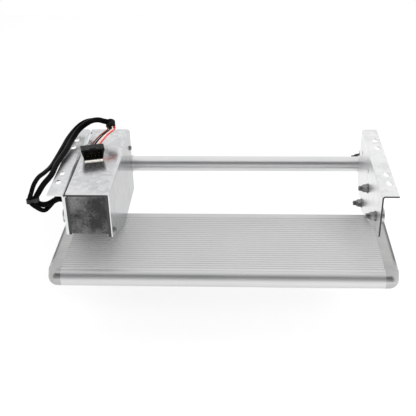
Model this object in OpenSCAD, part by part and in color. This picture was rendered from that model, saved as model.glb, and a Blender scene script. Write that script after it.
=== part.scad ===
// Electric caravan step, shown stowed: the tread hangs on two pairs of swing arms
// under two mounting brackets, and a gearmotor in the left-hand box swings it out.
// Millimetres. X runs along the tread, +Y points under the vehicle, Z is up.
// The origin lies on the floor below the middle of the whole step.

/* [Tread] */
// Width of the tread over its end caps
tread_w = 545; // [480:1:640]
// Depth of the tread from nose to rear edge
tread_depth = 182; // [160:1:210]
// Height of the tread, also the nose's diameter
tread_h = 30; // [26:1:34]
// Wall of the tread extrusion
deck_wall = 2.6; // [2.2:0.1:3.2]
// Width of each end cap
cap_w = 22; // [20:0.5:32]
// Wall of an end cap
cap_wall = 4; // [3:0.5:5]
// Spacing of the grip ribs on the deck
rib_pitch = 6; // [4:0.5:10]
// Depth of the grooves between the grip ribs
rib_depth = 0.4; // [0.4:0.1:1]
// Smooth strip left at the rear of the deck
rear_strip = 10; // [10:1:40]

/* [Brackets] */
// Depth of the brackets from front to rear edge
bracket_depth = 235; // [230:1:242]
// Sheet thickness of the brackets and the motor cover
sheet_t = 2.5; // [2:0.1:3]
// Width of the top flange, from the web's inner face
flange_w = 25; // [23:0.5:34]
// Height of the brackets' front edge
front_edge_h = 70; // [60:1:76]
// Outer radius of the folded edges
bend_r = 4.5; // [4:0.1:7]
// Width of the mounting slots
slot_w = 8.5; // [6:0.1:11]
// Length of the mounting slots
slot_l = 14; // [12:0.5:20]
// Distance between the outer slots of one flange
outer_slot_pitch = 151; // [140:1:170]
// Distance between the inner slots of one flange
inner_slot_pitch = 93; // [70:1:110]

/* [Swing arms] */
// Distance between the two pivots of an arm
arm_l = 151; // [147:1:156]
// Angle of the stowed arms below the horizontal
stow_angle = 7; // [5:0.5:9]
// Thickness of an arm
arm_t = 5; // [4:0.5:7]
// Width of an arm
arm_w = 20; // [16:1:21]
// Sideways bow of an arm, which clears the other pivots
arm_bow = 18; // [17:0.5:20]
// Distance between the front and rear pivots
pivot_pitch = 88; // [86:1:94]
// Radius of the axles
axle_r = 6; // [5:0.5:7]
// Wall of the pivot bushes
bush_wall = 2; // [1.5:0.5:3]
// Radius of the pins between the arms and the tread carriers
pin_r = 5; // [4.5:0.5:6]
// Thickness of the tread carriers
carrier_t = 4; // [3:0.5:5]
// Thickness of the pivot doublers
doubler_t = 2.5; // [2.5:0.1:3.5]

/* [Cross tube] */
// Outer diameter of the cross tube
tube_d = 26.9; // [22:0.1:28]
// Wall of the cross tube
tube_wall = 2; // [1.5:0.1:3]

/* [Motor box] */
// Width of the motor box, from the left web to the outside of the cover
box_w = 69; // [66:1:84]
// Radius of the motor can
can_r = 22; // [20:0.5:23]
// Length of the motor can
can_l = 84; // [80:1:100]
// Teeth on the worm wheel
wheel_teeth = 40; // [36:2:40]
// Pitch radius of the worm
worm_r = 6; // [5.5:0.1:6.5]

/* [Harness] */
// Radius of the motor cable
motor_cable_r = 4.5; // [3.5:0.1:4.8]
// Radius of the switch cable
switch_cable_r = 3.5; // [2.5:0.1:4]
// Radius of a loose wire
wire_r = 1.2; // [0.8:0.1:1.5]
// Width of the connector
connector_w = 38; // [32:1:44]
// Depth of the connector
connector_depth = 26; // [22:1:30]
// Height of the connector
connector_h = 21; // [16:0.5:22]

/* [Hidden] */
$fn = 48;

// Clearances: running fits, moving faces, drilled holes and sliding covers
run_fit = 0.05;
face_gap = 0.3;
hole_gap = 0.2;
cover_gap = 0.3;
// How far a cutting shape runs past the face it cuts
over = 1;

// M8 pivot hardware
thread_r = 4;
nut_flats = 13;
nut_h = 8;
thread_end = 5;
washer_r = 8;
washer_t = 1.6;
low_head_r = 7;
low_head_h = 3;
sunk_head_r = 8;
sunk_head_h = 4;
link_head_h = 5;
pin_head_r = pin_r + 3;
pin_head_t = 1.2;
link_washer_r = 10;

// Layers outwards from the web's inner face to the tread's end
bush_flange_t = 1.7;
link_washer_t = 0.9;
deck_x = tread_w / 2 - cap_w;
carrier_x = deck_x + carrier_t;
arm_out_x = deck_x - link_washer_t - 2 * face_gap;
arm_in_x = arm_out_x - arm_t;
bush_x = arm_in_x - face_gap;
doubler_x = bush_x - bush_flange_t;
web_out_x = doubler_x - doubler_t;
web_x = web_out_x - sheet_t;
slot_x = web_x + 0.64 * flange_w;
nut_face_x = web_x - face_gap;

// Heights, from the floor upwards
lobe_r = 14;
rear_rise = 12;
pivot_rise = 54;
cover_rise = 56;
foot_z = tread_h + rear_rise;
pivot_z = foot_z + pivot_rise;
top_z = pivot_z + cover_rise;
front_low_z = top_z - front_edge_h;
rear_edge_rise = 15;
box_rise = 3;
rear_low_z = foot_z + rear_edge_rise;
box_low_z = tread_h + box_rise;
under_z = top_z - sheet_t;

// Pivots as side-view points [y, z], with y measured from the brackets' front edge
front_pivot_y = 38;
foot_bolt_reach = 133;
front_pivot = [front_pivot_y, pivot_z];
rear_pivot = front_pivot + [pivot_pitch, 0];
foot_bolt = [front_pivot_y + foot_bolt_reach, foot_z];
arm_v = arm_l * [cos(stow_angle), -sin(stow_angle)];
front_link = front_pivot + arm_v;
rear_link = rear_pivot + arm_v;
arm_lobe_r = 13;
bush_r = axle_r + bush_wall;
bush_flange_w = 4;
bush_flange_r = bush_r + bush_flange_w;
doubler_lobe_r = 27;
doubler_inset = 2;
doubler_w = 2 * (lobe_r - doubler_inset);
tube_r = tube_d / 2;
// The tube runs before the rear links and clears their nuts
tube_link_gap = 30;
tube_link_rise = 1.8;
tube_p = rear_link + [-tube_link_gap, tube_link_rise];
ear_edge = 1.5;
ear_r = tube_r + ear_edge;
plug_l = 22;
plug_thread_l = 18;
slot_offset = 1.5;
slot_mid_y = bracket_depth / 2 - slot_offset;

// Tread, placed so that its rear edge clears the brackets' lower lobes
tread_gap = 5.5;
tread_rear = foot_bolt[0] - lobe_r - tread_gap;
tread_front = tread_rear - tread_depth;
nose_r = tread_h / 2;
nose_y = tread_front + nose_r;
chambers = 4;
chamber_w = (tread_rear - nose_y) / chambers;
rib_t = 2;
port_r = 5.5;
screw_r = 2.5;
port_ys = [for (i = [1:chambers - 1]) nose_y + i * chamber_w];
cap_screw_ys = [nose_y + chamber_w / 2, nose_y + 2.5 * chamber_w];
cap_screw_r = 2;
cap_edge_r = 6;
cap_head_h = 3;
cap_boss_r = 5;
cap_screw_sink = 0.5;
cap_slot_l = 56;
tongue_z = 4;
tongue_inset = 10;
tongue_front = nose_y + tongue_inset;
carrier_neck = 46;
carrier_screw_l = 20;
carrier_head_r = 4.5;
carrier_head_h = 3;
groove_w = rib_pitch * 0.4;
first_groove = 2;
rib_count = floor((tread_depth - nose_r - rear_strip) / rib_pitch);

// The whole step's middle, front to rear, which is where the origin lies
mid_y = (tread_front + rear_link[0] + arm_lobe_r) / 2;

// Stops: studs with rubber sleeves above the rear arm's crown and behind its lug
stud_r = 4;
sleeve_r = 7;
arm_mid = (rear_pivot + rear_link) / 2;
arm_normal = [sin(stow_angle), cos(stow_angle)];
stow_stud = arm_mid + (arm_bow + arm_w / 2 + sleeve_r + face_gap) * arm_normal;
swing = 90 - stow_angle;
lug_l = 32;
lug_w = 8;
stud_reach = 26;
deploy_stud = rear_pivot + [lug_w / 2 + sleeve_r + face_gap, stud_reach];

// Drive: worm gearing on the front left axle
gear_module = 1;
wheel_r = wheel_teeth * gear_module / 2;
wheel_tooth = 0.6;
wheel_w = 8;
worm_tooth = 0.7;
worm_turns = 8;
worm_pitch = PI * gear_module;
mesh_gap = 0.3;
wheel_room = 2;
gear_wall = 6;
gear_r = wheel_r + wheel_room + gear_wall;
can_wall = 2;
can_gap = 3;
drive_x = -web_x + can_r + can_gap;
drive_z = pivot_z + wheel_r + worm_r + mesh_gap;
tunnel_r = 12;
bearing_r = 8;
bearing_l = 6;
shaft_r = 3;
lid_t = 4;
lid_room = 5;
lid_bore_end = 1.5;
wheel_in_x = drive_x - wheel_w / 2;
gear_lid_x = drive_x + wheel_w / 2 + lid_room;
lid_x = gear_lid_x + lid_t;
tunnel_reach = 24;
tunnel_end = 2;
tunnel_y0 = front_pivot_y - tunnel_reach;
can_y0 = front_pivot_y + gear_r;
can_flange_t = 4;
can_y1 = can_y0 + can_l;
cap_plate_t = 4;
magnet_t = 5;
magnet_end = 2;
magnet_slit = 10;
rotor_gap = 1;
armature_r = can_r - can_wall - magnet_t - rotor_gap;
commutator_r = 7;
armature_inset = [12, 27];
armature_y = [can_y0 + armature_inset[0], can_y1 - armature_inset[1]];
commutator_inset = [22, 12];
commutator_y = [for (inset = commutator_inset) can_y1 - inset];
bearing_rim = 3;
bearing_ys = [tunnel_y0 + tunnel_end, can_y0 - bearing_l, can_y1 - bearing_l];
mount_screw_ring = 19;
mount_screw_l = 14;
mount_screw_angles = [10, 190, 270];
lid_screw_r = 1.5;
lid_screw_l = 8;
lid_head_r = 2.6;
lid_head_h = 2;
lid_screw_ring = gear_r - gear_wall / 2;
lid_screw_angles = [0, 180, 245, 305];

// Motor box
cover_x = -web_x + box_w;
cover_in_x = cover_x - sheet_t;
seam = 2.5;
lip_w = 6;
lip_drop = 4;
cover_front_z = front_low_z - lip_drop;
slope_reach = 68;
slope_end = front_pivot_y + slope_reach;
notch_w = 4;
notch_inset = [58, 14];
notch_y = [for (inset = notch_inset) bracket_depth - inset];
front_screw_offset = [-19.5, -15];
front_screw = front_pivot + front_screw_offset;
rear_screw_inset = [13, 30];
rear_screw = [bracket_depth, top_z] - rear_screw_inset;
spacer_r = 5;
cover_screw_l = 12;
cover_head_r = 4;
cover_head_h = 3;

// Harness: cable routes as hand-picked points in the part's own frame
grommet_p = [25.5, top_z - 19];
grommet_r = 11;
grommet_neck_r = 9;
grommet_flange_t = 3;
grommet_inner_t = 2;
cable_spacing = 9;
motor_hole = grommet_p - [cable_spacing / 2, 0];
switch_hole = grommet_p + [cable_spacing / 2, 0];
cable_start_x = -web_out_x - grommet_flange_t;
function straight_out(hole) = [for (d = [0, 4, 8]) [cable_start_x - d, hole[0] - mid_y, hole[1]]];
motor_cable_route = [
    each straight_out(motor_hole),
    [-257, -110, 131], [-265, -112, 127], [-273, -113, 125.5], [-281.5, -111.5, 127], [-285, -113, 135],
    [-279.5, -107, 145], [-275, -92, 150], [-267, -70, 155], [-265, -40, 158], [-259, 7, 160],
    [-255.5, 41, 163], [-246, 63.5, 172], [-229, 70, 182.5], [-214, 64, 188.5], [-201, 59, 188], [-192, 60, 186]
];
switch_cable_route = [
    each straight_out(switch_hole),
    [-256, -100, 130], [-264, -104, 121], [-272.5, -115.5, 117], [-282.5, -122, 126], [-292.5, -118.5, 135],
    [-289, -115, 148], [-286, -105, 157], [-282.5, -88, 160], [-277, -70, 159], [-273, -40, 156],
    [-268.5, 15, 158], [-265.5, 53, 160], [-257, 86.5, 164], [-243, 96.5, 171], [-225, 88, 178],
    [-208, 78.5, 181], [-194, 66, 180]
];
boot_from = [-193, 66, 185];
boot_to = [-191, 55, 180];
boot_r = 8;
tie_point = 7;
tie_at = motor_cable_route[tie_point];
tie_other = switch_cable_route[tie_point];
tie_w = 7;
tie_t = 1.3;
connector_p = [-213, -5];
connector_turn = 15;
connector_lock_h = 2;
connector_lock_t = 3;
connector_taper = 4;
connector_wall = 3;
mouth_inset = 6;
mouth_depth = 12;
wire_places = [14, 9.5, 5, 0.5];
wire_spacing = 4;
wire_sink = 2;
wire_run = 8;
wire_lift = 2.5;
lead_y = can_y1 + cap_plate_t;
lead_r = 2;
lead_step = 4.5;
lead_end = [14, 6];
lead_corner = [-web_x + lead_step, under_z - lead_step];

metal = "#d9d9d6";
steel = "#b5b6b4";
alloy = "#bfc1c2";
black = "#1c1c1d";
dark = "#47494c";
brass = "#b59a57";
copper = "#a8623a";
nylon = "#e6e4dc";

// Shifts side-view coordinates to the part's origin
module placed() {
    translate([0, -mid_y, 0]) children();
}

// Mirrors a right-hand piece to the left
module on_left() {
    mirror([1, 0, 0]) children();
}

module both_sides() {
    children();
    on_left() children();
}

// Cylinder along X at a side-view point
module rod_x(p, r, x0, x1) {
    translate([min(x0, x1), p[0], p[1]]) rotate([0, 90, 0]) cylinder(r = r, h = abs(x1 - x0));
}

// Cylinder along Y at a point [x, z]
module rod_y(p, r, y0, y1) {
    translate([p[0], y0, p[1]]) rotate([-90, 0, 0]) cylinder(r = r, h = y1 - y0);
}

// Cone along X from radius r0 at x0 to r1 at x1, where x1 is the larger
module cone_x(p, r0, r1, x0, x1) {
    translate([x0, p[0], p[1]]) rotate([0, 90, 0]) cylinder(r1 = r0, r2 = r1, h = x1 - x0);
}

// Hexagon along X with its flats facing up and down
module hex_x(p, flats, x0, x1) {
    translate([min(x0, x1), p[0], p[1]]) rotate([0, 90, 0])
        cylinder(d = flats / cos(30), h = abs(x1 - x0), $fn = 6);
}

// Extrudes a side-view outline along X
module plate_x(x0, x1) {
    translate([x0, 0, 0]) rotate([90, 0, 90]) linear_extrude(height = x1 - x0) children();
}

// Extrudes a front-view outline along Y
module bar_y(y0, y1) {
    translate([0, y1, 0]) rotate([90, 0, 0]) linear_extrude(height = y1 - y0) children();
}

// Straight bar between two outline points
module bar(p, q, w) {
    d = q - p;
    translate(p) rotate(atan2(d[1], d[0])) translate([0, -w / 2]) square([norm(d), w]);
}

module disc(p, r) {
    translate(p) circle(r = r);
}

// Point where the line from p touches a circle, below it for side = -1 when heading towards +Y
function touch(p, c, r, side) =
    let (d = c - p, a = atan2(d[1], d[0]) + side * asin(r / norm(d)))
    p + sqrt(norm(d) * norm(d) - r * r) * [cos(a), sin(a)];

// Arc-shaped bar from p to q that bows to the left of its direction
module bowed_bar(p, q, bow, w) {
    d = q - p;
    n = [-d[1], d[0]] / norm(d);
    r = (norm(d) * norm(d) / 4 + bow * bow) / (2 * abs(bow));
    c = (p + q) / 2 + (bow - sign(bow) * r) * n;
    intersection() {
        difference() {
            disc(c, r + w / 2);
            disc(c, r - w / 2);
        }
        polygon([c, c + 2 * (p - c), c + 2 * (q - c)]);
    }
}

// Folded sheet section: a wall at x0 and a top that runs outwards to x1
module fold_section(x0, x1) {
    translate([x0, 0]) square([sheet_t, top_z - bend_r]);
    translate([x0 + bend_r, under_z]) square([x1 - x0 - bend_r, sheet_t]);
    intersection() {
        translate([x0 + bend_r, top_z - bend_r]) difference() {
            circle(r = bend_r);
            circle(r = bend_r - sheet_t);
        }
        translate([x0, top_z - bend_r]) square(bend_r);
    }
}

// Smooth curve through hand-picked points, with two steps between neighbours
function curve_point(p, i, t) =
    let (
        last = len(p) - 1,
        a = p[max(i - 1, 0)],
        b = p[i],
        c = p[min(i + 1, last)],
        d = p[min(i + 2, last)]
    )
    0.5 * (2 * b + (c - a) * t + (2 * a - 5 * b + 4 * c - d) * t * t + (3 * b - a - 3 * c + d) * t * t * t);
function curve(p, steps) = concat(
    [for (i = [0:len(p) - 2]) for (s = [0:steps - 1]) curve_point(p, i, s / steps)],
    [p[len(p) - 1]]
);
function unit(v) = v / norm(v);
function heading(p, i) = unit(p[min(i + 1, len(p) - 1)] - p[max(i - 1, 0)]);
function carried(t, n) = unit(n - t * (n * t));
function ring_normals(p, n, i = 0, done = []) =
    i == len(p) ? done :
    let (next = carried(heading(p, i), i == 0 ? n : done[i - 1]))
    ring_normals(p, n, i + 1, concat(done, [next]));

// Round tube along a list of points
module tube_along(p, r, sides) {
    normals = ring_normals(p, [0.2, 0.3, 0.93]);
    points = [
        for (i = [0:len(p) - 1]) let (n = normals[i], b = cross(heading(p, i), n))
            for (k = [0:sides - 1]) p[i] + r * (cos(360 * k / sides) * n + sin(360 * k / sides) * b)
    ];
    rows = len(p);
    sides_faces = [
        for (i = [0:rows - 2]) for (k = [0:sides - 1])
            let (a = i * sides + k, b = i * sides + (k + 1) % sides)
                each [[a, a + sides, b + sides], [a, b + sides, b]]
    ];
    caps = [[for (k = [0:sides - 1]) k], [for (k = [0:sides - 1]) rows * sides - 1 - k]];
    polyhedron(points = points, faces = concat(sides_faces, caps), convexity = 8);
}

// Brackets

module web_outline() {
    front = [0, front_low_z];
    rear = [bracket_depth, rear_low_z];
    polygon([
        [0, top_z], front, touch(front, foot_bolt, lobe_r, -1), foot_bolt,
        touch(rear, foot_bolt, lobe_r, 1), rear, [bracket_depth, top_z]
    ]);
    disc(foot_bolt, lobe_r);
    disc(tube_p, ear_r);
    translate([tube_p[0] - 3 * ear_r, tube_p[1] - ear_r]) square([3 * ear_r, 2 * ear_r]);
}

module slot_z(p) {
    translate([p[0], p[1], under_z - over]) linear_extrude(height = sheet_t + 2 * over) {
        square([slot_w, slot_l - slot_w], center = true);
        for (s = [-1, 1]) translate([0, s * (slot_l - slot_w) / 2]) circle(d = slot_w);
    }
}

module sunk_hole(p, head_r, hole_r, head_h) {
    cone_x(p, hole_r + hole_gap, head_r + hole_gap, doubler_x - head_h, doubler_x + 0.001);
    rod_x(p, hole_r + hole_gap, web_x - over, doubler_x + over);
}

module bracket() {
    difference() {
        intersection() {
            plate_x(web_x - over, web_x + flange_w + over) web_outline();
            bar_y(0, tube_p[0] + ear_r) fold_section(web_x, web_x + flange_w);
        }
        for (pitch = [outer_slot_pitch, inner_slot_pitch]) for (s = [-1, 1])
            slot_z([slot_x, slot_mid_y + s * pitch / 2]);
        for (p = [front_pivot, rear_pivot]) rod_x(p, bush_r, web_x - over, web_out_x + over);
        for (p = [stow_stud, deploy_stud]) rod_x(p, stud_r, web_x - over, web_out_x + over);
        rod_x(tube_p, thread_r + hole_gap, web_x - over, web_out_x + over);
        sunk_hole(foot_bolt, sunk_head_r, thread_r, sunk_head_h);
    }
}

function mount_screw_points() =
    [for (a = mount_screw_angles) front_pivot + mount_screw_ring * [cos(a), sin(a)]];

module left_bracket() {
    color(metal) placed() {
        difference() {
            on_left() bracket();
            rod_x(grommet_p, grommet_neck_r, -web_out_x - over, -web_x + over);
            for (p = mount_screw_points()) rod_x(p, screw_r + hole_gap, -web_out_x - over, -web_x + over);
        }
        translate([-web_out_x, 0, front_low_z])
            cube([sheet_t + lip_w, sheet_t, top_z - bend_r - front_low_z]);
    }
}

module right_bracket() {
    color(metal) placed() bracket();
}

module doubler() {
    difference() {
        plate_x(web_out_x, doubler_x) {
            polygon([front_pivot, foot_bolt, rear_pivot]);
            bar(front_pivot, rear_pivot, doubler_w);
            bar(rear_pivot, foot_bolt, doubler_w);
            bar(foot_bolt, front_pivot, doubler_w);
            disc(front_pivot, doubler_lobe_r);
            disc(rear_pivot, lobe_r);
            disc(foot_bolt, lobe_r - doubler_inset / 2);
        }
        for (p = [front_pivot, rear_pivot]) rod_x(p, bush_r, web_out_x - over, doubler_x + over);
        sunk_hole(foot_bolt, sunk_head_r, thread_r, sunk_head_h);
    }
}

module left_doubler() {
    color(steel) placed() on_left() difference() {
        doubler();
        for (p = mount_screw_points()) sunk_hole(p, 2 * screw_r, screw_r, screw_r);
    }
}

module right_doubler() {
    color(steel) placed() doubler();
}

module pivot_bushes() {
    color(brass) placed() both_sides() for (p = [front_pivot, rear_pivot]) difference() {
        union() {
            rod_x(p, bush_r, web_x, doubler_x);
            rod_x(p, bush_flange_r, doubler_x, bush_x);
        }
        rod_x(p, axle_r + run_fit, web_x - over, bush_x + over);
    }
}

module doubler_screws() {
    tip = web_x - washer_t - nut_h - thread_end;
    color(steel) placed() both_sides() {
        cone_x(foot_bolt, thread_r, sunk_head_r, doubler_x - sunk_head_h, doubler_x);
        rod_x(foot_bolt, thread_r, tip, doubler_x - sunk_head_h);
    }
}

module doubler_nuts() {
    color(steel) placed() both_sides() nut_and_washer(foot_bolt, web_x);
}

// Nut on a washer, both inwards from the face at x
module nut_and_washer(p, x) {
    difference() {
        union() {
            rod_x(p, washer_r, x - washer_t, x);
            hex_x(p, nut_flats, x - washer_t - nut_h, x - washer_t);
        }
        rod_x(p, thread_r, x - washer_t - nut_h - over, x + over);
    }
}

module stop_studs() {
    color(steel) placed() both_sides() for (p = [stow_stud, deploy_stud]) rod_x(p, stud_r, web_x, arm_out_x);
}

module stop_buffers() {
    color(black) placed() both_sides() for (p = [stow_stud, deploy_stud]) difference() {
        rod_x(p, sleeve_r, web_out_x, arm_out_x);
        rod_x(p, stud_r, web_out_x - over, arm_out_x + over);
    }
}

// Cross tube

module cross_tube() {
    color(metal) placed() difference() {
        rod_x(tube_p, tube_r, -web_x, web_x);
        rod_x(tube_p, tube_r - tube_wall, -web_x - over, web_x + over);
    }
}

module tube_plugs() {
    color(steel) placed() both_sides() difference() {
        rod_x(tube_p, tube_r - tube_wall, web_x - plug_l, web_x);
        rod_x(tube_p, thread_r, web_x - plug_l - over, web_x + over);
    }
}

module tube_screws() {
    color(steel) placed() both_sides() {
        rod_x(tube_p, thread_r, web_x - plug_thread_l, web_out_x);
        rod_x(tube_p, low_head_r, web_out_x, web_out_x + low_head_h);
    }
}

// Motor box

module cover_outline() {
    polygon([
        [0, top_z], [0, cover_front_z], [slope_end, box_low_z], [bracket_depth, box_low_z],
        [bracket_depth, top_z]
    ]);
    disc(tube_p, ear_r);
    translate([tube_p[0] - 3 * ear_r, tube_p[1] - tube_r]) square([3 * ear_r, tube_d]);
}

module motor_cover() {
    color(metal) placed() difference() {
        union() {
            intersection() {
                plate_x(-web_x + seam, cover_x) cover_outline();
                translate([cover_x, 0, 0]) on_left() bar_y(0, tube_p[0] + ear_r)
                    fold_section(0, box_w - seam);
            }
            translate([cover_x - lip_w, 0, cover_front_z])
                cube([lip_w, sheet_t, under_z - cover_front_z]);
        }
        rod_x(tube_p, tube_r + cover_gap, cover_in_x - over, cover_x + over);
        translate([-web_x + seam - over, notch_y[0], under_z - over])
            cube([notch_w, notch_y[1] - notch_y[0], sheet_t + 2 * over]);
        for (p = [front_screw, rear_screw])
            rod_x(p, screw_r + hole_gap, cover_in_x - over, cover_x + over);
    }
}

module front_plate() {
    bend_in_r = bend_r - sheet_t;
    color(dark) placed() translate([-web_x, sheet_t, front_low_z + cover_gap])
        cube([box_w - sheet_t - cover_gap, sheet_t, under_z - bend_in_r - front_low_z - cover_gap]);
}

module cover_spacers() {
    color(steel) placed() {
        spacer(front_screw, lid_x);
        spacer(rear_screw, -web_x);
    }
}

module spacer(p, x) {
    difference() {
        rod_x(p, spacer_r, x, cover_in_x);
        rod_x(p, screw_r, cover_in_x - cover_screw_l - over, cover_in_x + over);
    }
}

module cover_screws() {
    color(steel) placed() for (p = [front_screw, rear_screw]) {
        rod_x(p, screw_r, cover_in_x - cover_screw_l, cover_x);
        rod_x(p, cover_head_r, cover_x, cover_x + cover_head_h);
    }
}

// Gearmotor

module gearbox_housing() {
    color(alloy) placed() difference() {
        union() {
            rod_x(front_pivot, gear_r, -web_x, gear_lid_x);
            rod_y([drive_x, drive_z], tunnel_r, tunnel_y0, can_y0);
            rod_y([drive_x, drive_z], can_r, can_y0 - can_flange_t, can_y0);
        }
        rod_x(front_pivot, wheel_r + wheel_room, wheel_in_x - wheel_room, gear_lid_x + over);
        rod_x(front_pivot, axle_r + run_fit, -web_x - over, gear_lid_x + over);
        rod_y([drive_x, drive_z], bearing_r, tunnel_y0 + tunnel_end, can_y0 + over);
        for (p = lid_screw_points())
            rod_x(p, lid_screw_r, gear_lid_x - lid_screw_l - over, gear_lid_x + over);
        for (p = mount_screw_points()) rod_x(p, screw_r, -web_x - over, -web_x + mount_screw_l);
    }
}

function lid_screw_points() = [for (a = lid_screw_angles) front_pivot + lid_screw_ring * [cos(a), sin(a)]];

module gearbox_lid() {
    color(alloy) placed() difference() {
        rod_x(front_pivot, gear_r, gear_lid_x, lid_x);
        rod_x(front_pivot, axle_r + run_fit, gear_lid_x - over, lid_x - lid_bore_end);
        rod_y([drive_x, drive_z], tunnel_r + cover_gap, tunnel_y0 - over, can_y0 + over);
        rod_y([drive_x, drive_z], can_r + cover_gap, can_y0 - can_flange_t - cover_gap, can_y0 + over);
        for (p = lid_screw_points()) rod_x(p, lid_screw_r + hole_gap, gear_lid_x - over, lid_x + over);
    }
}

module lid_screws() {
    color(steel) placed() for (p = lid_screw_points()) {
        rod_x(p, lid_screw_r, gear_lid_x - lid_screw_l, lid_x);
        rod_x(p, lid_head_r, lid_x, lid_x + lid_head_h);
    }
}

module gearbox_mount_screws() {
    color(steel) placed() on_left() for (p = mount_screw_points()) {
        cone_x(p, screw_r, 2 * screw_r, doubler_x - screw_r, doubler_x);
        rod_x(p, screw_r, web_x - mount_screw_l + over, doubler_x - screw_r);
    }
}

module motor_can() {
    color(steel) placed() difference() {
        rod_y([drive_x, drive_z], can_r, can_y0, can_y1);
        rod_y([drive_x, drive_z], can_r - can_wall, can_y0 - over, can_y1 + over);
    }
}

module motor_magnets() {
    ends = armature_y + magnet_end * [-1, 1];
    color(dark) placed() difference() {
        rod_y([drive_x, drive_z], can_r - can_wall, ends[0], ends[1]);
        rod_y([drive_x, drive_z], armature_r + rotor_gap, ends[0] - over, ends[1] + over);
        translate([drive_x - magnet_slit / 2, ends[0] - over, drive_z - can_r])
            cube([magnet_slit, ends[1] - ends[0] + 2 * over, 2 * can_r]);
    }
}

module brush_cap() {
    color(dark) placed() difference() {
        union() {
            rod_y([drive_x, drive_z], can_r, can_y1, can_y1 + cap_plate_t);
            rod_y([drive_x, drive_z], bearing_r + bearing_rim, can_y1 - bearing_l, can_y1);
        }
        rod_y([drive_x, drive_z], bearing_r, can_y1 - bearing_l - over, can_y1);
    }
}

module shaft_bearings() {
    color(brass) placed() for (y = bearing_ys) difference() {
        rod_y([drive_x, drive_z], bearing_r, y, y + bearing_l);
        rod_y([drive_x, drive_z], shaft_r + run_fit, y - over, y + bearing_l + over);
    }
}

module worm_shaft() {
    color(steel) placed() {
        rod_y([drive_x, drive_z], shaft_r, tunnel_y0 + tunnel_end + over, can_y1 - over);
        translate([drive_x, front_pivot_y, drive_z]) rotate([-90, 0, 0])
            linear_extrude(height = worm_turns * worm_pitch, center = true, twist = -360 * worm_turns,
                slices = 12 * worm_turns)
                translate([0, worm_tooth]) circle(r = worm_r, $fn = 14);
    }
}

module armature() {
    color(copper) placed() difference() {
        rod_y([drive_x, drive_z], armature_r, armature_y[0], armature_y[1]);
        rod_y([drive_x, drive_z], shaft_r, armature_y[0] - over, armature_y[1] + over);
    }
}

module commutator() {
    color(copper) placed() difference() {
        rod_y([drive_x, drive_z], commutator_r, commutator_y[0], commutator_y[1]);
        rod_y([drive_x, drive_z], shaft_r, commutator_y[0] - over, commutator_y[1] + over);
    }
}

module output_shaft() {
    color(steel) placed() rod_x(front_pivot, axle_r, -arm_out_x, lid_x - lid_bore_end - face_gap);
}

module worm_wheel() {
    steps = 8 * wheel_teeth;
    outline = [
        for (i = [0:steps - 1]) let (a = 360 * i / steps)
            (wheel_r - wheel_tooth * cos(wheel_teeth * a)) * [sin(a), cos(a)]
    ];
    color(brass) placed() difference() {
        plate_x(wheel_in_x, wheel_in_x + wheel_w) translate(front_pivot) polygon(outline);
        rod_x(front_pivot, axle_r, wheel_in_x - over, wheel_in_x + wheel_w + over);
    }
}

// Swing arms

module arm(from, to, bow) {
    difference() {
        plate_x(arm_in_x, arm_out_x) {
            bowed_bar(from, to, bow, arm_w);
            disc(from, arm_lobe_r);
            disc(to, arm_lobe_r);
        }
        rod_x(from, axle_r, arm_in_x - over, arm_out_x + over);
        rod_x(to, pin_r + run_fit, arm_in_x - over, arm_out_x + over);
    }
}

module front_arm_left() {
    color(metal) placed() on_left() arm(front_pivot, front_link, -arm_bow);
}

module front_arm_right() {
    color(metal) placed() arm(front_pivot, front_link, -arm_bow);
}

// The rear arm's lug meets its stud when the arm hangs straight down
module rear_arm() {
    lug_end = rear_pivot + lug_l * [-sin(swing), cos(swing)];
    arm(rear_pivot, rear_link, arm_bow);
    difference() {
        plate_x(arm_in_x, arm_out_x) bar(rear_pivot, lug_end, lug_w);
        rod_x(rear_pivot, arm_lobe_r - over, arm_in_x - over, arm_out_x + over);
    }
}

module rear_arm_left() {
    color(metal) placed() on_left() rear_arm();
}

module rear_arm_right() {
    color(metal) placed() rear_arm();
}

module axle(p) {
    rod_x(p, axle_r, nut_face_x, arm_out_x);
    rod_x(p, thread_r, nut_face_x - washer_t - nut_h - thread_end, nut_face_x);
}

module axle_washer(p) {
    difference() {
        rod_x(p, washer_r, nut_face_x - washer_t, nut_face_x);
        rod_x(p, thread_r, nut_face_x - washer_t - over, nut_face_x + over);
    }
}

module axle_nut(p) {
    difference() {
        hex_x(p, nut_flats, nut_face_x - washer_t - nut_h, nut_face_x - washer_t);
        rod_x(p, thread_r, nut_face_x - washer_t - nut_h - over, nut_face_x);
    }
}

module front_axle() {
    color(steel) placed() axle(front_pivot);
}

module front_axle_washer() {
    color(steel) placed() axle_washer(front_pivot);
}

module front_axle_nut() {
    color(steel) placed() axle_nut(front_pivot);
}

module rear_axles() {
    color(steel) placed() both_sides() axle(rear_pivot);
}

module rear_axle_washers() {
    color(steel) placed() both_sides() axle_washer(rear_pivot);
}

module rear_axle_nuts() {
    color(steel) placed() both_sides() axle_nut(rear_pivot);
}

// Tread

module nose_profile(inset) {
    disc([nose_y, nose_r], nose_r - inset);
    translate([nose_y, inset]) square([tread_rear - nose_y - inset, tread_h - 2 * inset]);
}

module deck_profile() {
    difference() {
        union() {
            difference() {
                nose_profile(0);
                nose_profile(deck_wall);
            }
            for (i = [0:chambers - 1])
                translate([nose_y + i * chamber_w - rib_t / 2, deck_wall / 2])
                    square([rib_t, tread_h - deck_wall]);
            for (y = port_ys) disc([y, nose_r], port_r);
        }
        for (y = port_ys) disc([y, nose_r], screw_r + run_fit);
        for (i = [0:rib_count - 1])
            translate([nose_y + first_groove + i * rib_pitch, tread_h - rib_depth])
                square([groove_w, rib_depth + over]);
    }
}

module tread_deck() {
    color(alloy) placed() plate_x(-deck_x, deck_x) deck_profile();
}

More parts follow.
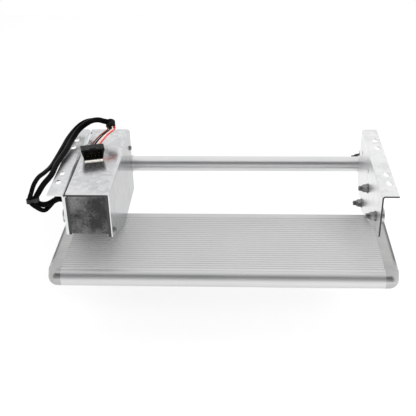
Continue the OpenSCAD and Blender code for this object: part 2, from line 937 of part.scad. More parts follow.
module carrier_outline() {
    edge_r = arm_lobe_r - 1;
    polygon([
        [tongue_front, tongue_z], [tread_rear - cap_wall - over, tongue_z],
        rear_link + edge_r * [0.5, -0.87],
        rear_link + [0, edge_r], front_link + [0, edge_r], front_link + edge_r * [-0.7, 0.7],
        [tread_rear - carrier_neck, tread_h - tongue_z], [tongue_front, tread_h - tongue_z]
    ]);
    disc(front_link, arm_lobe_r);
    disc(rear_link, arm_lobe_r);
}

module carrier() {
    difference() {
        plate_x(deck_x, carrier_x) carrier_outline();
        for (p = [front_link, rear_link]) rod_x(p, pin_r, deck_x - over, carrier_x + over);
        for (y = port_ys) rod_x([y, nose_r], screw_r + hole_gap, deck_x - over, carrier_x + over);
        for (y = cap_screw_ys) rod_x([y, nose_r], cap_screw_r, deck_x - over, carrier_x + over);
    }
}

module carrier_left() {
    color(metal) placed() on_left() carrier();
}

module carrier_right() {
    color(metal) placed() carrier();
}

// Hollow moulded cap over the carrier, slotted where the carrier rises out of it
module end_cap() {
    outer = tread_w / 2;
    floor_x = outer - cap_wall;
    slot_y = tread_rear - cap_slot_l;
    room_h = tread_h - 2 * (tongue_z - cover_gap);
    difference() {
        union() {
            difference() {
                hull() {
                    plate_x(deck_x, deck_x + over) nose_profile(0);
                    translate([outer - nose_r, nose_y, nose_r]) sphere(r = nose_r, $fn = 32);
                    for (y = [nose_y + cap_edge_r, tread_rear - cap_edge_r])
                        for (z = [cap_edge_r, tread_h - cap_edge_r])
                            translate([outer - cap_edge_r, y, z]) sphere(r = cap_edge_r, $fn = 24);
                }
                translate([deck_x - over, tongue_front - over, tongue_z - cover_gap])
                    cube([floor_x - deck_x + over, tread_rear - cap_wall - tongue_front + over, room_h]);
            }
            for (y = cap_screw_ys) rod_x([y, nose_r], cap_boss_r, carrier_x, floor_x + over);
        }
        translate([deck_x - tread_h, tread_front - over, -over])
            cube([tread_h, tread_depth + 2 * over, tread_h + 2 * over]);
        translate([deck_x - over, slot_y, tongue_z - cover_gap])
            cube([carrier_t + cover_gap + over, cap_slot_l + over, tread_h]);
        for (y = cap_screw_ys) {
            rod_x([y, nose_r], cap_screw_r + hole_gap, carrier_x - over, outer);
            rod_x([y, nose_r], 2 * cap_screw_r + hole_gap, outer - cap_head_h, outer + over);
        }
    }
}

module end_cap_left() {
    color(steel) placed() on_left() end_cap();
}

module end_cap_right() {
    color(steel) placed() end_cap();
}

module carrier_screws() {
    color(steel) placed() both_sides() for (y = port_ys) {
        rod_x([y, nose_r], screw_r, deck_x - carrier_screw_l, carrier_x);
        rod_x([y, nose_r], carrier_head_r, carrier_x, carrier_x + carrier_head_h);
    }
}

module cap_screws() {
    outer = tread_w / 2;
    color(steel) placed() both_sides() for (y = cap_screw_ys) {
        rod_x([y, nose_r], cap_screw_r, deck_x, outer - cap_head_h);
        rod_x([y, nose_r], 2 * cap_screw_r, outer - cap_head_h, outer - cap_screw_sink);
    }
}

// Links between the arms and the carriers

module front_link_pins() {
    color(steel) placed() both_sides() {
        rod_x(front_link, pin_head_r, bush_x - pin_head_t, bush_x);
        rod_x(front_link, pin_r, bush_x, carrier_x);
        rod_x(front_link, thread_r, carrier_x, carrier_x + nut_h + over);
    }
}

module rear_link_bolts() {
    color(steel) placed() both_sides() {
        hex_x(rear_link, nut_flats, carrier_x, carrier_x + link_head_h);
        rod_x(rear_link, pin_r, bush_x, carrier_x);
        rod_x(rear_link, thread_r, bush_x - washer_t - nut_h - thread_end, bush_x);
    }
}

module link_nuts() {
    color(steel) placed() both_sides() {
        difference() {
            hex_x(front_link, nut_flats, carrier_x, carrier_x + nut_h);
            rod_x(front_link, thread_r, carrier_x - over, carrier_x + nut_h + over);
        }
        nut_and_washer(rear_link, bush_x);
    }
}

module link_washers() {
    color(nylon) placed() both_sides() for (p = [front_link, rear_link]) difference() {
        rod_x(p, link_washer_r, arm_out_x + face_gap, deck_x - face_gap);
        rod_x(p, pin_r, arm_out_x - over, deck_x + over);
    }
}

// Harness

module cable_grommet() {
    color(black) placed() difference() {
        union() {
            rod_x(grommet_p, grommet_r, cable_start_x, -web_out_x);
            rod_x(grommet_p, grommet_neck_r, -web_out_x, -web_x);
            rod_x(grommet_p, grommet_r, -web_x, -web_x + grommet_inner_t);
        }
        for (p = [motor_hole, switch_hole])
            rod_x(p, lead_r, cable_start_x - over, -web_x + grommet_inner_t + over);
    }
}

// Two leads run from the grommet along the box's upper corner to the brush cap
module motor_leads() {
    color(black) placed() for (i = [0, 1]) {
        p = [motor_hole, switch_hole][i];
        corner = lead_corner - [0, lead_step * i];
        end_z = drive_z + lead_end[0] - lead_end[1] * i;
        tube_along(curve([
            [cable_start_x, p[0], p[1]], [-web_x + grommet_inner_t, p[0], p[1]],
            [corner[0], p[0] + 3 * lead_step, corner[1]], [corner[0], can_y0, corner[1]],
            [corner[0], can_y1, corner[1]], [drive_x, lead_y + 2 * lead_step, end_z],
            [drive_x, lead_y + lead_step, end_z], [drive_x, lead_y, end_z]
        ], 2), lead_r - run_fit, 8);
    }
}

module motor_cable() {
    color(black) tube_along(curve(motor_cable_route, 2), motor_cable_r, 10);
}

module switch_cable() {
    color(black) tube_along(curve(switch_cable_route, 2), switch_cable_r, 10);
}

module cable_tie() {
    color(dark) translate([0, 0, tie_at[2] - tie_w / 2]) linear_extrude(height = tie_w) difference() {
        tie_loop(tie_t + cover_gap);
        tie_loop(cover_gap);
    }
}

// Outline round both cables, larger by the given margin
module tie_loop(margin) {
    hull() {
        disc([tie_at[0], tie_at[1]], motor_cable_r + margin, $fn = 32);
        disc([tie_other[0], tie_other[1]], switch_cable_r + margin, $fn = 32);
    }
}

module harness_boot() {
    d = boot_to - boot_from;
    color(black) translate(boot_from) rotate([0, acos(d[2] / norm(d)), atan2(d[1], d[0])])
        cylinder(r = boot_r, h = norm(d));
}

// Moves connector pieces to their place on the box top
module at_connector() {
    translate([connector_p[0], connector_p[1], top_z]) rotate([0, 0, connector_turn]) children();
}

module connector_housing() {
    half = connector_w / 2;
    color(black) at_connector() difference() {
        translate([0, connector_depth / 2, 0]) rotate([90, 0, 0]) linear_extrude(height = connector_depth)
            polygon([
                [connector_taper - half, 0], [half - connector_taper, 0],
                [half, connector_h], [-half, connector_h]
            ]);
        translate([mouth_inset - half, -connector_depth / 2 - over, connector_lock_h])
            cube([connector_w - 2 * mouth_inset, mouth_depth + over, connector_h - 2 * connector_wall]);
        translate([-half, -connector_depth / 2 - over, -over])
            cube([connector_w, connector_lock_t + over, connector_lock_h + over]);
    }
}

module connector_lock() {
    half = connector_w / 2 - connector_taper;
    color(nylon) at_connector() translate([-half, -connector_depth / 2, 0])
        cube([2 * half, connector_lock_t, connector_lock_h]);
}

module lead_wires() {
    colors = ["#a82a22", "#e8e6de", "#1c1c1d", "#6a3d22"];
    d = unit(boot_to - boot_from);
    side = unit(cross(d, [0, 0, 1]));
    for (i = [0:3]) {
        start = boot_to - wire_sink * d + wire_spacing * (i - 1.5) * side;
        turn = [cos(connector_turn), sin(connector_turn), 0];
        back = [-turn[1], turn[0], 0];
        end = [connector_p[0], connector_p[1], top_z + connector_h / 2] + wire_places[i] * turn
            + (connector_depth / 2 - wire_sink / 2) * back;
        color(colors[i]) tube_along(curve([
            start, start + wire_run * d, (start + end) / 2 + [0, 0, wire_lift],
            end + wire_run * back + [0, 0, wire_lift], end
        ], 2), wire_r, 8);
    }
}

left_bracket();
right_bracket();
left_doubler();
right_doubler();
motor_cover();
front_plate();
cross_tube();
tube_plugs();
tube_screws();
pivot_bushes();
doubler_screws();
doubler_nuts();
stop_studs();
stop_buffers();
cover_spacers();
cover_screws();
gearbox_housing();
gearbox_lid();
lid_screws();
gearbox_mount_screws();
motor_can();
motor_magnets();
brush_cap();
shaft_bearings();
cable_grommet();
motor_leads();
worm_shaft();
armature();
commutator();
front_arm_left();
front_arm_right();
output_shaft();
worm_wheel();
front_axle();
front_axle_washer();
front_axle_nut();
rear_arm_left();
rear_arm_right();
rear_axles();
rear_axle_washers();
rear_axle_nuts();
tread_deck();
end_cap_left();
end_cap_right();
carrier_left();
carrier_right();
carrier_screws();
cap_screws();
front_link_pins();
rear_link_bolts();
link_nuts();
link_washers();
connector_housing();
connector_lock();
lead_wires();
harness_boot();
motor_cable();
switch_cable();
cable_tie();
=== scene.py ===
import math

import bmesh
import bpy
from mathutils import Matrix, Vector


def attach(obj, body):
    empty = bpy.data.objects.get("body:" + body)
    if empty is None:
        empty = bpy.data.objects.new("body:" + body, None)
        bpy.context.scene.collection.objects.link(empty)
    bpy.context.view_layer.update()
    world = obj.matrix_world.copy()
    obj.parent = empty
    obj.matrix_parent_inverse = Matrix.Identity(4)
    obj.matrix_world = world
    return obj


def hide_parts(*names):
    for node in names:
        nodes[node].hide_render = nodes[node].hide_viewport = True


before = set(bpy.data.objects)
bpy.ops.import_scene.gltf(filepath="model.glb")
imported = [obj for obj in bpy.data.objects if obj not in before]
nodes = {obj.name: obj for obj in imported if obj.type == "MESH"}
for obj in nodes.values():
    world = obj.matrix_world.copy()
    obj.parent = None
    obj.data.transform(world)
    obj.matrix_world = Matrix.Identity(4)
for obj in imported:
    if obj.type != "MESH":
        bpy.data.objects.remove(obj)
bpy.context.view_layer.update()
scene = bpy.context.scene
mm = 0.001

# Camera, at the place and angle that the photograph was taken from
cameraView = {
    "place": (33.947, -1115.256, 710.779),
    "pitch": 30.428,
    "yaw": 3.139,
    "roll": -1.2575,
    "focalPixels": 764.923,
    "imagePixels": 416,
    "sensor": 36.0,
}


def makeCamera(view):
    pitch, yaw, roll = (math.radians(view[key]) for key in ("pitch", "yaw", "roll"))
    ahead = Vector((-math.sin(yaw) * math.cos(pitch), math.cos(yaw) * math.cos(pitch), -math.sin(pitch)))
    level = Vector((math.cos(yaw), math.sin(yaw), 0))
    above = level.cross(ahead)
    right = math.cos(roll) * level + math.sin(roll) * above
    up = math.cos(roll) * above - math.sin(roll) * level
    data = bpy.data.cameras.new("photoCamera")
    data.sensor_width = view["sensor"]
    data.lens = view["focalPixels"] / view["imagePixels"] * view["sensor"]
    camera = bpy.data.objects.new("photoCamera", data)
    turn = Matrix((right, up, -ahead)).transposed().to_4x4()
    camera.matrix_world = Matrix.Translation(Vector(view["place"]) * mm) @ turn
    scene.collection.objects.link(camera)
    scene.camera = camera


makeCamera(cameraView)
print("camera placed")


# One colour, written as in a paint program, in the shader's linear values, by the sRGB curve
def toLinear(colour):
    parts = [int(colour[i:i + 2], 16) / 255 for i in (1, 3, 5)]
    return tuple(c / 12.92 if c <= 0.04045 else ((c + 0.055) / 1.055) ** 2.4 for c in parts) + (1.0,)


# Adds a node with its settings, which are its own or its inputs', and its links. Inputs of Math and Mix nodes
# share their names, so they go by number
def addNode(tree, kind, settings=None, links=None):
    node = tree.nodes.new(kind)
    for key, value in (settings or {}).items():
        if isinstance(key, str) and key in node.bl_rna.properties:
            setattr(node, key, value)
        else:
            node.inputs[key].default_value = value
    for key, source in (links or {}).items():
        tree.links.new(source, node.inputs[key])
    return node


mixFactor, mixUnder, mixOver, mixResult = 0, 6, 7, 2  # colour sockets of a Mix node


# An empty material with its shader and Object coordinates
def startMaterial(name, settings):
    material = bpy.data.materials.new(name)
    material.use_nodes = True
    tree = material.node_tree
    tree.nodes.clear()
    shader = addNode(tree, "ShaderNodeBsdfPrincipled", settings)
    addNode(tree, "ShaderNodeOutputMaterial", None, {"Surface": shader.outputs[0]})
    coords = addNode(tree, "ShaderNodeTexCoord").outputs["Object"]
    return material, tree, shader, coords


# Colours spread over a pattern's values, as (place, colour) pairs
def setRamp(ramp, stops):
    elements = ramp.color_ramp.elements
    while len(elements) < len(stops):
        elements.new(0.5)
    for element, (place, colour) in zip(elements, stops):
        element.position = place
        element.color = toLinear(colour)
    return ramp.outputs["Color"]


# Ends a material: its colour, its roughness by a pattern and its bump by another
def finishMaterial(tree, shader, look, colour, pattern, height):
    low, high = look["rough"]
    rough = addNode(tree, "ShaderNodeMapRange", {"To Min": low, "To Max": high}, {"Value": pattern})
    bump = addNode(tree, "ShaderNodeBump", {"Strength": look["bump"], "Distance": look["bumpDepth"] * mm},
                   {"Height": height})
    sources = {"Base Color": colour, "Roughness": rough.outputs[0], "Normal": bump.outputs[0]}
    for socket, source in sources.items():
        tree.links.new(source, shader.inputs[socket])


# Hot-dip galvanised sheet: bright zinc with soft crystal spangles, cloudy patches and fine pits
def galvanisedSheet(name, look):
    material, tree, shader, coords = startMaterial(name, {
        "Metallic": look["metallic"], "Specular Tint": toLinear(look["edge"])})
    spangle = addNode(tree, "ShaderNodeTexVoronoi", {"Scale": 1 / (look["spangle"] * mm)}, {"Vector": coords})
    cloud = addNode(tree, "ShaderNodeTexNoise", {"Scale": 1 / (look["cloud"] * mm), "Detail": 4.0},
                    {"Vector": coords})
    pits = addNode(tree, "ShaderNodeTexNoise", {"Scale": 1 / (look["pit"] * mm), "Detail": 2.0},
                   {"Vector": coords})
    crystal = addNode(tree, "ShaderNodeSeparateColor", None, {"Color": spangle.outputs["Color"]})
    part = addNode(tree, "ShaderNodeMath", {"operation": "MULTIPLY", 1: look["spangleShare"]},
                   {0: crystal.outputs[0]})
    part = addNode(tree, "ShaderNodeMath", {"operation": "MULTIPLY_ADD", 1: look["cloudShare"]},
                   {0: cloud.outputs["Fac"], 2: part.outputs[0]})
    part = addNode(tree, "ShaderNodeMath", {"operation": "MULTIPLY_ADD", 1: look["pitShare"]},
                   {0: pits.outputs["Fac"], 2: part.outputs[0]})
    if "brush" in look or "cutEdge" in look:
        axes = addNode(tree, "ShaderNodeSeparateXYZ", None, {"Vector": coords})
    if "brush" in look:  # upright brush marks on the side plate
        fine, long = (1 / (size * mm) for size in look["brush"])
        side = addNode(tree, "ShaderNodeMath", {"operation": "GREATER_THAN", 1: look["brushRight"] * mm},
                       {0: axes.outputs["X"]})
        side = addNode(tree, "ShaderNodeMath", {"operation": "MULTIPLY", 1: look["brushShare"]},
                       {0: side.outputs[0]})
        place = addNode(tree, "ShaderNodeMapping", {"Scale": (fine, fine, long)}, {"Vector": coords})
        marks = addNode(tree, "ShaderNodeTexNoise", {"Scale": 1.0, "Detail": 2.0},
                        {"Vector": place.outputs[0]})
        part = addNode(tree, "ShaderNodeMix", {"data_type": "FLOAT"},
                       {0: side.outputs[0], 2: part.outputs[0], 3: marks.outputs["Fac"]})
    ramp = addNode(tree, "ShaderNodeValToRGB", None, {"Fac": part.outputs[0]})
    colour = setRamp(ramp, look["colours"])
    if "cutEdge" in look:  # the bare steel of the front edges, between two places across
        left, right = look["cutEdge"]
        front = addNode(tree, "ShaderNodeMath", {"operation": "LESS_THAN", 1: frontEdge * mm},
                        {0: axes.outputs["Y"]})
        after = addNode(tree, "ShaderNodeMath", {"operation": "GREATER_THAN", 1: left * mm},
                        {0: axes.outputs["X"]})
        before = addNode(tree, "ShaderNodeMath", {"operation": "LESS_THAN", 1: right * mm},
                         {0: axes.outputs["X"]})
        both = addNode(tree, "ShaderNodeMath", {"operation": "MULTIPLY"},
                       {0: after.outputs[0], 1: before.outputs[0]})
        both = addNode(tree, "ShaderNodeMath", {"operation": "MULTIPLY"},
                       {0: both.outputs[0], 1: front.outputs[0]})
        bare = addNode(tree, "ShaderNodeMix", {"data_type": "RGBA", mixOver: toLinear(look["bare"])},
                       {mixFactor: both.outputs[0], mixUnder: colour})
        colour = bare.outputs[mixResult]
    finishMaterial(tree, shader, look, colour, part.outputs[0], pits.outputs["Fac"])
    return material


# Drawn or brushed metal: fine lines that run along one axis
def brushedMetal(name, look):
    material, tree, shader, coords = startMaterial(name, {"Metallic": look["metallic"]})
    fine = [1 / (look["line"] * mm)] * 3
    fine[look["along"]] = 1 / (look["length"] * mm)
    place = addNode(tree, "ShaderNodeMapping", {"Scale": fine}, {"Vector": coords})
    lines = addNode(tree, "ShaderNodeTexNoise", {"Scale": 1.0, "Detail": 3.0}, {"Vector": place.outputs[0]})
    cloud = addNode(tree, "ShaderNodeTexNoise", {"Scale": 1 / (look["cloud"] * mm), "Detail": 2.0},
                    {"Vector": coords})
    part = addNode(tree, "ShaderNodeMath", {"operation": "MULTIPLY", 1: look["lineShare"]},
                   {0: lines.outputs["Fac"]})
    part = addNode(tree, "ShaderNodeMath", {"operation": "MULTIPLY_ADD", 1: 1 - look["lineShare"]},
                   {0: cloud.outputs["Fac"], 2: part.outputs[0]})
    ramp = addNode(tree, "ShaderNodeValToRGB", None, {"Fac": part.outputs[0]})
    colour = setRamp(ramp, look["colours"])
    if "mattFrom" in look or "groove" in look:
        axes = addNode(tree, "ShaderNodeSeparateXYZ", None, {"Vector": coords})
    if "mattFrom" in look:  # etched matt, and so less of a mirror, behind the smooth nose
        front, rear = look["mattFrom"]
        matt = addNode(tree, "ShaderNodeMapRange", {"From Min": front * mm, "From Max": rear * mm},
                       {"Value": axes.outputs["Y"]})
        shine = addNode(tree, "ShaderNodeMapRange", {"To Min": look["metallic"], "To Max": look["matt"]},
                        {"Value": matt.outputs[0]})
        tree.links.new(shine.outputs[0], shader.inputs["Metallic"])
        tint = addNode(tree, "ShaderNodeMix", {
            "data_type": "RGBA", "blend_type": "MULTIPLY", mixOver: toLinear(look["mattTint"])},
            {mixFactor: matt.outputs[0], mixUnder: colour})
        colour = tint.outputs[mixResult]
    if "groove" in look:  # painted shade in the grooves between the ribs, deepest at their bottoms, and not on the underside
        bottom, top = look["groove"]
        deep = addNode(tree, "ShaderNodeMapRange", {"From Min": top * mm, "From Max": bottom * mm},
                       {"Value": axes.outputs["Z"]})
        above = addNode(tree, "ShaderNodeMath", {"operation": "GREATER_THAN", 1: look["dustFrom"] * mm},
                        {0: axes.outputs["Z"]})
        dusty = addNode(tree, "ShaderNodeMath", {"operation": "MULTIPLY"},
                        {0: deep.outputs[0], 1: above.outputs[0]})
        dust = addNode(tree, "ShaderNodeMix", {
            "data_type": "RGBA", "blend_type": "MULTIPLY", mixOver: toLinear(look["dust"])},
            {mixFactor: dusty.outputs[0], mixUnder: colour})
        colour = dust.outputs[mixResult]
    finishMaterial(tree, shader, look, colour, part.outputs[0], lines.outputs["Fac"])
    return material


# Moulded plastic, rubber and PVC: a fine mould grain and faint cloudiness
def mouldedPlastic(name, look):
    material, tree, shader, coords = startMaterial(name, {
        "Metallic": look["metallic"], "IOR": look["ior"], "Specular IOR Level": look["sheen"]})
    grain = addNode(tree, "ShaderNodeTexNoise", {"Scale": 1 / (look["grain"] * mm), "Detail": 2.0},
                    {"Vector": coords})
    cloud = addNode(tree, "ShaderNodeTexNoise", {"Scale": 1 / (look["cloud"] * mm), "Detail": 3.0},
                    {"Vector": coords})
    ramp = addNode(tree, "ShaderNodeValToRGB", None, {"Fac": cloud.outputs["Fac"]})
    colour = setRamp(ramp, look["colours"])
    if "paintedReflectionEdge" in look:  # painted dark reflection on the outer top edge, behind the front corner
        axes = addNode(tree, "ShaderNodeSeparateXYZ", None, {"Vector": coords})
        out = addNode(tree, "ShaderNodeMath", {"operation": "ABSOLUTE"}, {0: axes.outputs["X"]})
        ranges = {"paintedReflectionEdge": out.outputs[0], "paintedReflectionFrom": axes.outputs["Y"], "paintedReflectionAbove": axes.outputs["Z"]}
        rim, back, top = (
            addNode(tree, "ShaderNodeMapRange", {"From Min": look[key][0] * mm, "From Max": look[key][1] * mm},
                    {"Value": place}).outputs[0]
            for key, place in ranges.items())
        both = addNode(tree, "ShaderNodeMath", {"operation": "MULTIPLY"}, {0: rim, 1: back})
        both = addNode(tree, "ShaderNodeMath", {"operation": "MULTIPLY"}, {0: both.outputs[0], 1: top})
        paintedReflection = addNode(tree, "ShaderNodeMix", {"data_type": "RGBA", mixOver: toLinear(look["paintedReflection"])},
                       {mixFactor: both.outputs[0], mixUnder: colour})
        colour = paintedReflection.outputs[mixResult]
    finishMaterial(tree, shader, look, colour, cloud.outputs["Fac"], grain.outputs["Fac"])
    return material


# Looks, with sizes in mm
frontEdge = -129.15  # the sheet's front edges lie before it
sheetLook = {
    "metallic": 1.0, "spangle": 9, "cloud": 55, "pit": 1.4,
    "spangleShare": 0.3, "cloudShare": 0.5, "pitShare": 0.2,
    "colours": [(0.25, "#d0d1d3"), (0.5, "#dedfe0"), (0.75, "#eaebeb")],
    "rough": (0.26, 0.38), "bump": 0.05, "bumpDepth": 0.1, "bare": "#484848", "edge": "#ffffff",
}
# the left bracket's sheet is a shade darker and the right bracket's a shade lighter than the same galvanised
# steel: painted shade and painted light
shadedLeftLook = dict(sheetLook, colours=[(0.25, "#cacbcd"), (0.5, "#d9dadb"), (0.75, "#e5e6e6")])
litRightLook = dict(sheetLook, colours=[(0.25, "#dedfe0"), (0.5, "#ebecec"), (0.75, "#f4f4f4")])
coverLook = dict(sheetLook, metallic=0.94, colours=[(0.3, "#c8c9cb"), (0.5, "#d9dadb"), (0.7, "#e5e5e6")],
                 rough=(0.17, 0.25), edge="#dcdcdc", brush=(6, 160), brushShare=0.45, brushRight=-171.0)
darkLook = {
    "metallic": 0.6, "spangle": 2.2, "cloud": 34, "pit": 1.6,
    "spangleShare": 0.1, "cloudShare": 0.75, "pitShare": 0.15,
    "colours": [(0.38, "#2c2c2c"), (0.48, "#525252"), (0.58, "#6c6c6c"), (0.68, "#848484")],
    "rough": (0.35, 0.6), "bump": 0.15, "bumpDepth": 0.1, "edge": "#ffffff",
}
drawnLook = {
    "metallic": 1.0, "along": 0, "line": 0.7, "length": 60, "cloud": 120, "lineShare": 0.45,
    "colours": [(0.3, "#bfc0c0"), (0.7, "#cdcdcd")], "rough": (0.46, 0.56), "bump": 0.03, "bumpDepth": 0.05,
}
deckLook = dict(drawnLook, colours=[(0.3, "#cfd0d0"), (0.7, "#dadada")], rough=(0.4, 0.5),
                mattFrom=(-150, -146), matt=0.12, mattTint="#e0e0e0",
                # the next line's keys paint shade into the grooves between the ribs
                groove=(29.65, 29.9), dustFrom=29.4, dust="#e1e1e1")
tubeLook = dict(drawnLook, colours=[(0.3, "#dcdddd"), (0.7, "#e6e6e6")], rough=(0.34, 0.42), lineShare=0.35)
zincLook = dict(drawnLook, line=0.5, length=2.5, cloud=9, lineShare=0.3,
                colours=[(0.3, "#6f7071"), (0.5, "#8c8d8d"), (0.7, "#a5a5a4")], rough=(0.24, 0.4))
# darker steel for the thread ends, also given to the rear link's nuts and washers
threadLook = dict(zincLook, colours=[(0.3, "#3a3b3c"), (0.7, "#58595a")], rough=(0.3, 0.45))
armLook = dict(sheetLook, colours=[(0.25, "#b4b5b7"), (0.5, "#c8c9ca"), (0.75, "#d8d9d9")], rough=(0.3, 0.44))
castLook = dict(sheetLook, spangle=3, cloud=30, pit=0.8, colours=[(0.3, "#9b9d9f"), (0.7, "#bcbebf")],
                rough=(0.45, 0.6), bump=0.25)
bronzeLook = dict(drawnLook, line=0.4, length=4, cloud=12, colours=[(0.3, "#9c7f42"), (0.7, "#c0a160")])
copperLook = dict(bronzeLook, colours=[(0.3, "#8f4f2b"), (0.7, "#b8724a")])
ferriteLook = dict(castLook, metallic=0.2, colours=[(0.3, "#2b2c2e"), (0.7, "#3e3f42")])
capLook = {
    "metallic": 0.96, "ior": 1.5, "sheen": 0.5, "grain": 0.5, "cloud": 40,
    "colours": [(0.3, "#a9a9a8"), (0.7, "#bcbcbb")], "rough": (0.24, 0.32), "bump": 0.03, "bumpDepth": 0.1,
    # the next line's keys paint a dark reflection along the outer top edge, behind the front corner
    "paintedReflection": "#4a4b4d", "paintedReflectionEdge": (265.5, 269.5), "paintedReflectionFrom": (-132, -112), "paintedReflectionAbove": (24.0, 26.5),
}
blackLook = {
    "metallic": 0.0, "ior": 1.53, "sheen": 0.16, "grain": 0.35, "cloud": 12,
    "colours": [(0.3, "#060607"), (0.7, "#101011")], "rough": (0.3, 0.44), "bump": 0.1, "bumpDepth": 0.1,
}
sheathLook = dict(blackLook, ior=1.54, grain=0.6, cloud=18, colours=[(0.3, "#020203"), (0.7, "#070708")],
                  rough=(0.26, 0.38), bump=0.08, sheen=0.04)
rubberLook = dict(blackLook, ior=1.52, grain=0.5, colours=[(0.3, "#0d0d0d"), (0.7, "#171717")],
                  rough=(0.6, 0.75), bump=0.2)
# pale nylon of the link washers; on the connector lock the same pale colour is a painted highlight along the
# connector's bottom edge
nylonLook = dict(blackLook, colours=[(0.3, "#d9d6cc"), (0.7, "#e8e6de")], rough=(0.4, 0.5))
tieLook = dict(blackLook, colours=[(0.3, "#1f2021"), (0.7, "#303134")], rough=(0.35, 0.5))
wireLook = dict(blackLook, grain=0.3, cloud=6, rough=(0.3, 0.42), bump=0.04)
wireColours = {
    "red": [(0.3, "#cc2f2a"), (0.7, "#e2463e")], "white": [(0.3, "#c9c5bd"), (0.7, "#d8d4cc")],
    "black": [(0.3, "#101011"), (0.7, "#1c1c1d")], "brown": [(0.3, "#5a2416"), (0.7, "#7a3524")],
}

finishes = {
    # the left and right sheets differ only by painted shade and painted light
    "leftSheet": galvanisedSheet("galvanisedSteelLeftShaded", dict(shadedLeftLook, cutEdge=(-235.0, 0.0))),
    "rightSheet": galvanisedSheet("galvanisedSteelRightLit", dict(litRightLook, cutEdge=(0.0, 300.0))),
    "cover": galvanisedSheet("galvanisedSteelCover", dict(coverLook, cutEdge=(-300.0, -169.5))),
    "dark": galvanisedSheet("patinatedZincPlate", darkLook),
    "arm": galvanisedSheet("zincPlatedArmSteel", armLook),
    "cast": galvanisedSheet("dieCastAluminium", castLook),
    "ferrite": galvanisedSheet("sinteredFerrite", ferriteLook),
    "deck": brushedMetal("anodisedAluminium", deckLook),
    "tube": brushedMetal("drawnTubeSteel", tubeLook),
    "zinc": brushedMetal("zincPlatedSteel", zincLook),
    "thread": brushedMetal("darkThreadSteel", threadLook),
    "bronze": brushedMetal("sinteredBronze", bronzeLook),
    "copper": brushedMetal("enamelledCopper", copperLook),
    "cap": mouldedPlastic("silverLacqueredNylon", capLook),
    "plastic": mouldedPlastic("blackGlassFilledNylon", blackLook),
    "sheath": mouldedPlastic("blackPvcSheath", sheathLook),
    "rubber": mouldedPlastic("blackRubber", rubberLook),
    "nylon": mouldedPlastic("paleNylonAndPaintedHighlight", nylonLook),
    "tie": mouldedPlastic("greyNylonTie", tieLook),
}
for name, colours in wireColours.items():
    finishes[name + "Wire"] = mouldedPlastic(name + "PvcInsulation", dict(wireLook, colours=colours))
print("materials made:", len(finishes))


# Makes a finished mesh object at the origin
def makePiece(name, mesh, *materials):
    piece = bpy.data.objects.new(name, mesh)
    scene.collection.objects.link(piece)
    for material in materials:
        if material.name not in [m.name for m in mesh.materials if m]:
            mesh.materials.append(material)
    return piece


# Points of a Catmull-Rom curve through a route's listed points, as the CAD draws it
def smoothRoute(route, steps):
    points = [Vector(p) * mm for p in route]
    last = len(points) - 1
    line = []
    for i in range(last):
        a, b, c, d = (points[min(max(i + k, 0), last)] for k in (-1, 0, 1, 2))
        for s in range(steps):
            t = s / steps
            line.append(0.5 * (2 * b + (c - a) * t + (2 * a - 5 * b + 4 * c - d) * t * t
                               + (3 * b - a - 3 * c + d) * t * t * t))
    return line + [points[last]]


def lineLength(line):
    return sum((b - a).length for a, b in zip(line, line[1:]))


# Joins loops of equal point counts with faces: round to the first again, or with a closed end at each side
def joinLoops(build, loops, around=False):
    count = len(loops[0])
    pairs = list(zip(loops, loops[1:])) + ([(loops[-1], loops[0])] if around else [])
    walls = [build.faces.new((low[k], low[(k + 1) % count], high[(k + 1) % count], high[k]))
             for low, high in pairs for k in range(count)]
    ends = [] if around else [build.faces.new(loops[0][::-1]), build.faces.new(loops[-1])]
    return walls, ends


sweepStart = (0.2, 0.3, 0.93)  # a direction that no route begins in


# Sweeps a round section along a line, with a closed end at each side
def sweepTube(build, line, radii, sides):
    normal = Vector(sweepStart)
    rings = []
    for i, point in enumerate(line):
        ahead = (line[min(i + 1, len(line) - 1)] - line[max(i - 1, 0)]).normalized()
        normal = (normal - ahead * normal.dot(ahead)).normalized()
        side = ahead.cross(normal)
        radius = radii if isinstance(radii, float) else radii[i]
        rings.append([build.verts.new(point + radius * (math.cos(math.tau * k / sides) * normal
                                                        + math.sin(math.tau * k / sides) * side))
                      for k in range(sides)])
    walls, _ = joinLoops(build, rings)
    for face in walls:
        face.smooth = True


# Turns the faces outwards and keeps the result as a mesh
def finishMesh(name, build):
    bmesh.ops.recalc_face_normals(build, faces=build.faces[:])
    mesh = bpy.data.meshes.new(name)
    build.to_mesh(mesh)
    build.free()
    return mesh


# Cables: two PVC-sheathed cables leave the grommet, loop down and run up over the flange to the boot
cables = {
    "motorCable": {
        "node": "motor_cable", "diameter": 9.0,
        "route": [
            (-242.5, -108.187, 133), (-246.5, -108.187, 133), (-250.5, -108.187, 133),
            (-257, -110, 131), (-265, -112, 127), (-273, -113, 125.5), (-281.5, -111.5, 127),
            (-285, -113, 135), (-279.5, -107, 145), (-275, -92, 150), (-267, -70, 155), (-265, -40, 158),
            (-259, 7, 160), (-255.5, 41, 163), (-246, 63.5, 172), (-229, 70, 182.5), (-214, 64, 188.5),
            (-201, 59, 188), (-192, 60, 186),
        ],
    },
    "switchCable": {
        "node": "switch_cable", "diameter": 7.0,
        "route": [
            (-242.5, -99.187, 133), (-246.5, -99.187, 133), (-250.5, -99.187, 133),
            (-256, -100, 130), (-264, -104, 121), (-272.5, -115.5, 117), (-282.5, -122, 126),
            (-292.5, -118.5, 135), (-289, -115, 148), (-286, -105, 157), (-282.5, -88, 160), (-277, -70, 159),
            (-273, -40, 156), (-268.5, 15, 158), (-265.5, 53, 160), (-257, 86.5, 164), (-243, 96.5, 171),
            (-225, 88, 178), (-208, 78.5, 181), (-194, 66, 180),
        ],
    },
}
cableDetail = {"steps": 8, "sides": 24}


